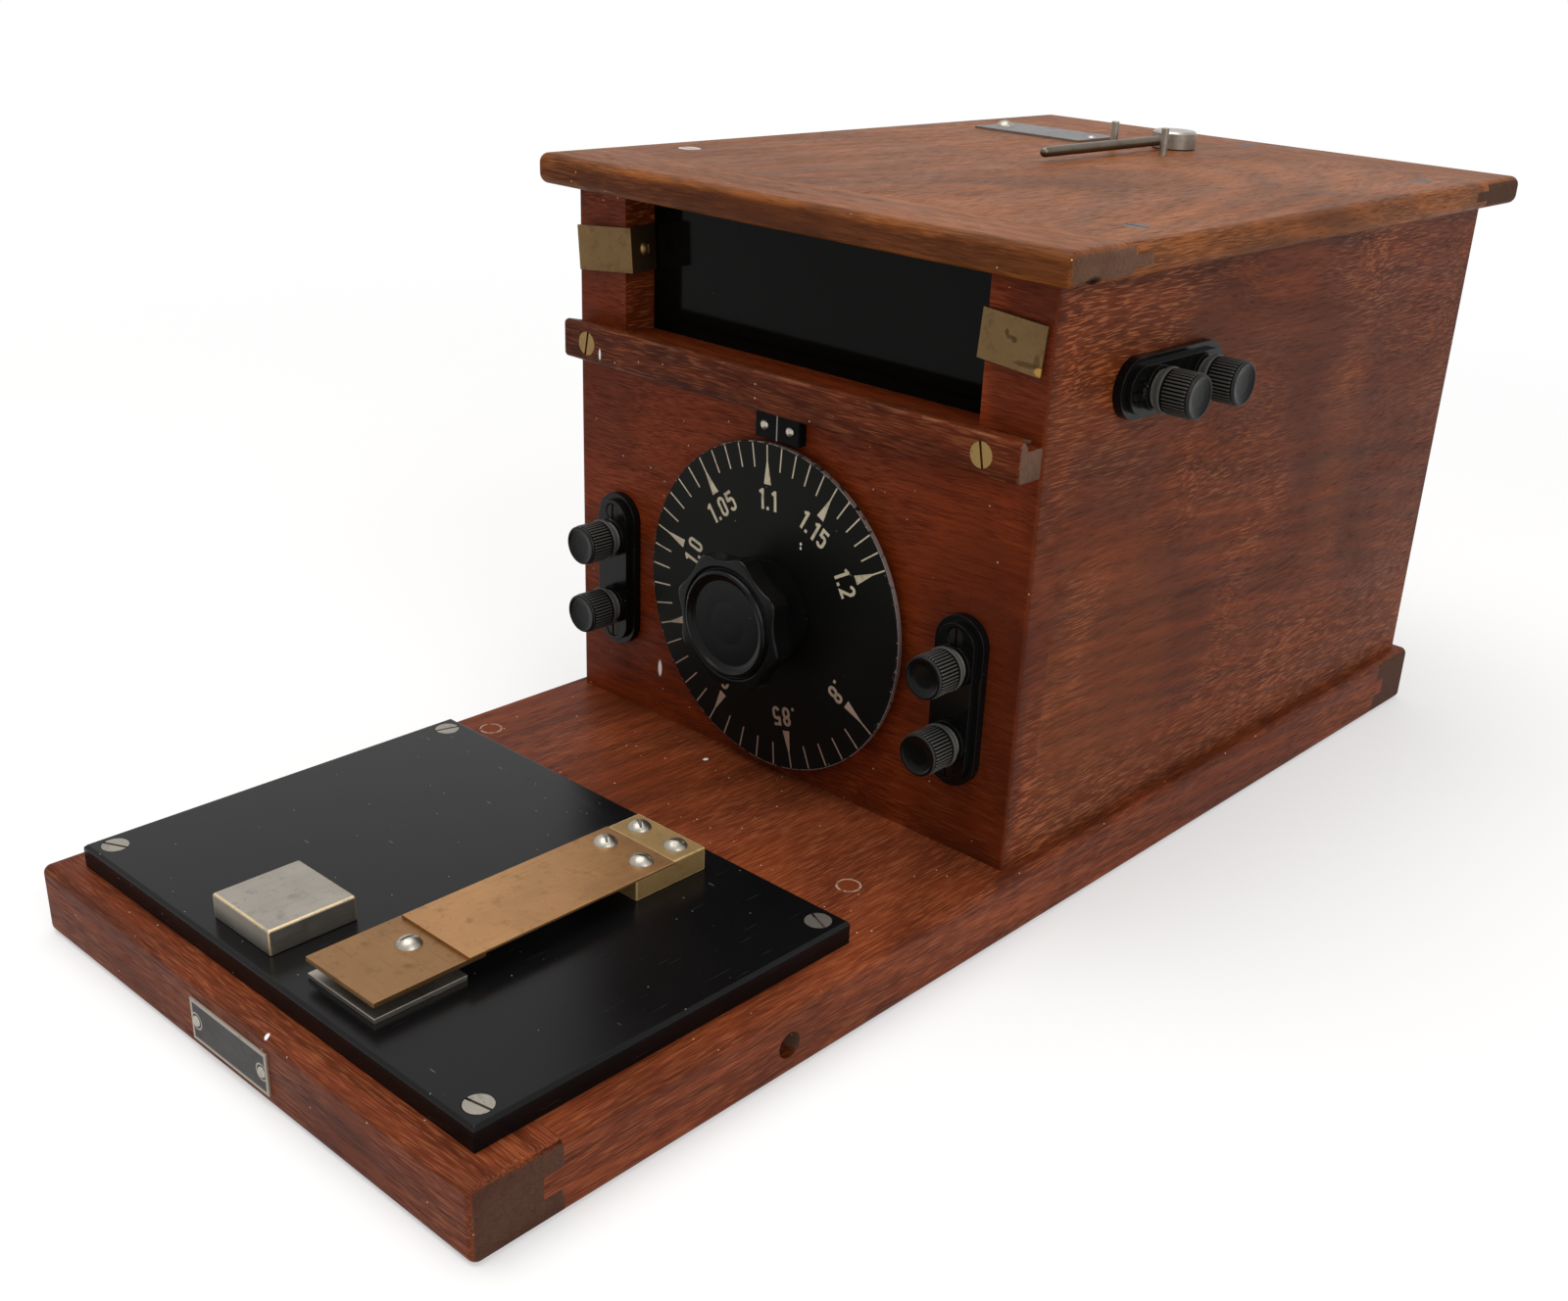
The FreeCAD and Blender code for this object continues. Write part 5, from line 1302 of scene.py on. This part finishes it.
class BRIDGE_OT_inside(Builder, bpy.types.Operator):
    """Galvanometer, lamp, coils, slide wire and inner woodwork"""
    bl_idname = "bridge.inside"
    bl_label = "Inside"

    def execute(self, context):
        dress("corner_blocks", bare_wood("glue block wood", 1.0, 1))
        dress("glass_battens", bare_wood("batten wood", 0.5, 2))
        dress("galv_frame", bare_wood("galvanometer foot wood", 1.0, 0))
        self.inner_metals("galv_magnet", "galv_coil", "galv_mirror", "wiper_arm", "shaft_bushing")
        dress("coil_spools", wound_silk())
        dress("lamp_house", black_moulding("lamp house enamel", "dial_black", rough=0.4))
        dress("lamp_bulb", bulb_glass())
        dress("slide_wire", black_moulding("slide wire ring ebonite", "ebonite", rough=0.35))
        return {"FINISHED"}


# Stage

FLOOR_RADIUS = 14.0
FLOOR_DROP = 0.05 * MM
FLOOR_SIDES = 64
FLOOR_TONE = (0.86, 0.85, 0.84)
WHITE = (1.0, 1.0, 1.0)
WHITE_SHARE = 0.42
SHADOW_ENDS = (0.35, 1.1)
SKY_LIGHT = 0.42
LAMP_AIM = (0.0, 0.0, 0.1)
CLIP_START = 0.02
CLIP_END = 60.0

# Lamps: name, place and width in metres, power in watts
LAMPS = (
    ("overhead lamp", (-0.3, -0.3, 2.3), 2.0, 48.0),
    ("right lamp", (2.2, -0.6, 1.3), 1.6, 26.0),
)


def floor_paint():
    """Pale floor that keeps a soft shadow and is nearly white where it is seen."""
    paint = Paint("pale floor")
    distance = paint.vector_math("LENGTH", paint.place, (0.0, 0.0, 0.0), 1)
    whiteness = swap(paint.step(distance, *SHADOW_ENDS), WHITE_SHARE, 1.0)
    paint.mottle(paint.noise(3.0, 3.0), FLOOR_TONE, 0.98, 1.0)
    paint.surface(roughness=0.9, specular_ior_level=0.1)
    glow = paint.node("ShaderNodeEmission", sockets={"Color": WHITE, "Strength": 1.0})
    both = paint.node("ShaderNodeMixShader", sockets={
        0: paint.seen_directly() * whiteness, 1: Wire(paint, paint.shader.outputs[0]), 2: glow})
    paint.join(both, paint.output.inputs["Surface"])
    return paint.material


def sky():
    """World light: an even soft grey on the object and plain white where it is seen."""
    world = bpy.data.worlds.new("studio light")
    world.use_nodes = True
    light = Nodes(world.node_tree)
    background = world.node_tree.nodes["Background"]
    light.join(WHITE, background.inputs["Color"])
    light.join(swap(light.seen_directly(), SKY_LIGHT, 1.0), background.inputs["Strength"])
    bpy.context.scene.world = world


def soft_lamp(name, place, width, watts):
    """A square soft light that points at the object."""
    lamp = bpy.data.lights.new(name, "AREA")
    lamp.shape = "SQUARE"
    lamp.size = width
    lamp.energy = watts
    holder = bpy.data.objects.new(name, lamp)
    bpy.context.collection.objects.link(holder)
    holder.location = place
    holder.rotation_euler = (Vector(LAMP_AIM) - Vector(place)).to_track_quat("-Z", "Y").to_euler()


def photo_camera():
    """A camera where the photograph was taken from."""
    data = bpy.data.cameras.new("photo camera")
    data.sensor_width = SENSOR_WIDTH
    data.sensor_fit = "HORIZONTAL"
    data.lens = FOCAL_PIXELS / PHOTO_WIDTH * SENSOR_WIDTH
    data.shift_x = -CENTRE_RIGHT_PIXELS / PHOTO_WIDTH
    data.shift_y = CENTRE_DOWN_PIXELS / PHOTO_WIDTH
    data.clip_start = CLIP_START
    data.clip_end = CLIP_END
    camera = bpy.data.objects.new("photo camera", data)
    bpy.context.collection.objects.link(camera)
    level = math.cos(CAMERA_ELEVATION)
    forward = Vector((
        -math.sin(CAMERA_AZIMUTH) * level, math.cos(CAMERA_AZIMUTH) * level, -math.sin(CAMERA_ELEVATION)))
    level_right = forward.cross(Vector((0, 0, 1))).normalized()
    level_up = level_right.cross(forward)
    right = level_right * math.cos(CAMERA_ROLL) + level_up * math.sin(CAMERA_ROLL)
    up = right.cross(forward)
    turn = Matrix((right, up, -forward)).transposed().to_4x4()
    camera.matrix_world = Matrix.Translation(CAMERA_PLACE) @ turn
    bpy.context.scene.camera = camera


def pale_floor():
    """A wide round floor just under the object."""
    work = bmesh.new()
    bmesh.ops.create_circle(work, cap_ends=True, segments=FLOOR_SIDES, radius=FLOOR_RADIUS)
    mesh = bpy.data.meshes.new("floor")
    work.to_mesh(mesh)
    work.free()
    mesh.materials.append(floor_paint())
    floor = bpy.data.objects.new("floor", mesh)
    bpy.context.collection.objects.link(floor)
    floor.location.z = -FLOOR_DROP


class BRIDGE_OT_stage(bpy.types.Operator):
    """Pale floor, soft lamps and the camera of the photograph"""
    bl_idname = "bridge.stage"
    bl_label = "Stage"

    def execute(self, context):
        pale_floor()
        sky()
        for lamp in LAMPS:
            soft_lamp(*lamp)
        photo_camera()
        context.scene.view_settings.view_transform = "Standard"
        return {"FINISHED"}


PIECE_OPERATORS = (BRIDGE_OT_base, BRIDGE_OT_case, BRIDGE_OT_window, BRIDGE_OT_dial, BRIDGE_OT_terminals,
                   BRIDGE_OT_key, BRIDGE_OT_lever, BRIDGE_OT_inside, BRIDGE_OT_stage)


class BRIDGE_PT_panel(bpy.types.Panel):
    """Sidebar list of the bridge's pieces, sizes and colours"""
    bl_idname = "BRIDGE_PT_panel"
    bl_label = "Wheatstone bridge"
    bl_space_type = "VIEW_3D"
    bl_region_type = "UI"
    bl_category = "Bridge"

    def draw(self, context):
        column = self.layout.column()
        for operator in PIECE_OPERATORS:
            column.operator(operator.bl_idname)
        for group in (context.scene.bridge_sizes, context.scene.bridge_colours):
            for name in group.__annotations__:
                column.prop(group, name)


CLASSES = (BridgeSizes, BridgeColours, *PIECE_OPERATORS, BRIDGE_PT_panel)


def register():
    for item in CLASSES:
        bpy.utils.register_class(item)
    bpy.types.Scene.bridge_sizes = bpy.props.PointerProperty(type=BridgeSizes)
    bpy.types.Scene.bridge_colours = bpy.props.PointerProperty(type=BridgeColours)


def unregister():
    del bpy.types.Scene.bridge_colours
    del bpy.types.Scene.bridge_sizes
    for item in reversed(CLASSES):
        bpy.utils.unregister_class(item)


def main():
    """Registers the add-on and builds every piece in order."""
    register()
    for operator in PIECE_OPERATORS:
        group, name = operator.bl_idname.split(".")
        getattr(getattr(bpy.ops, group), name)()


if __name__ == "__main__":
    main()
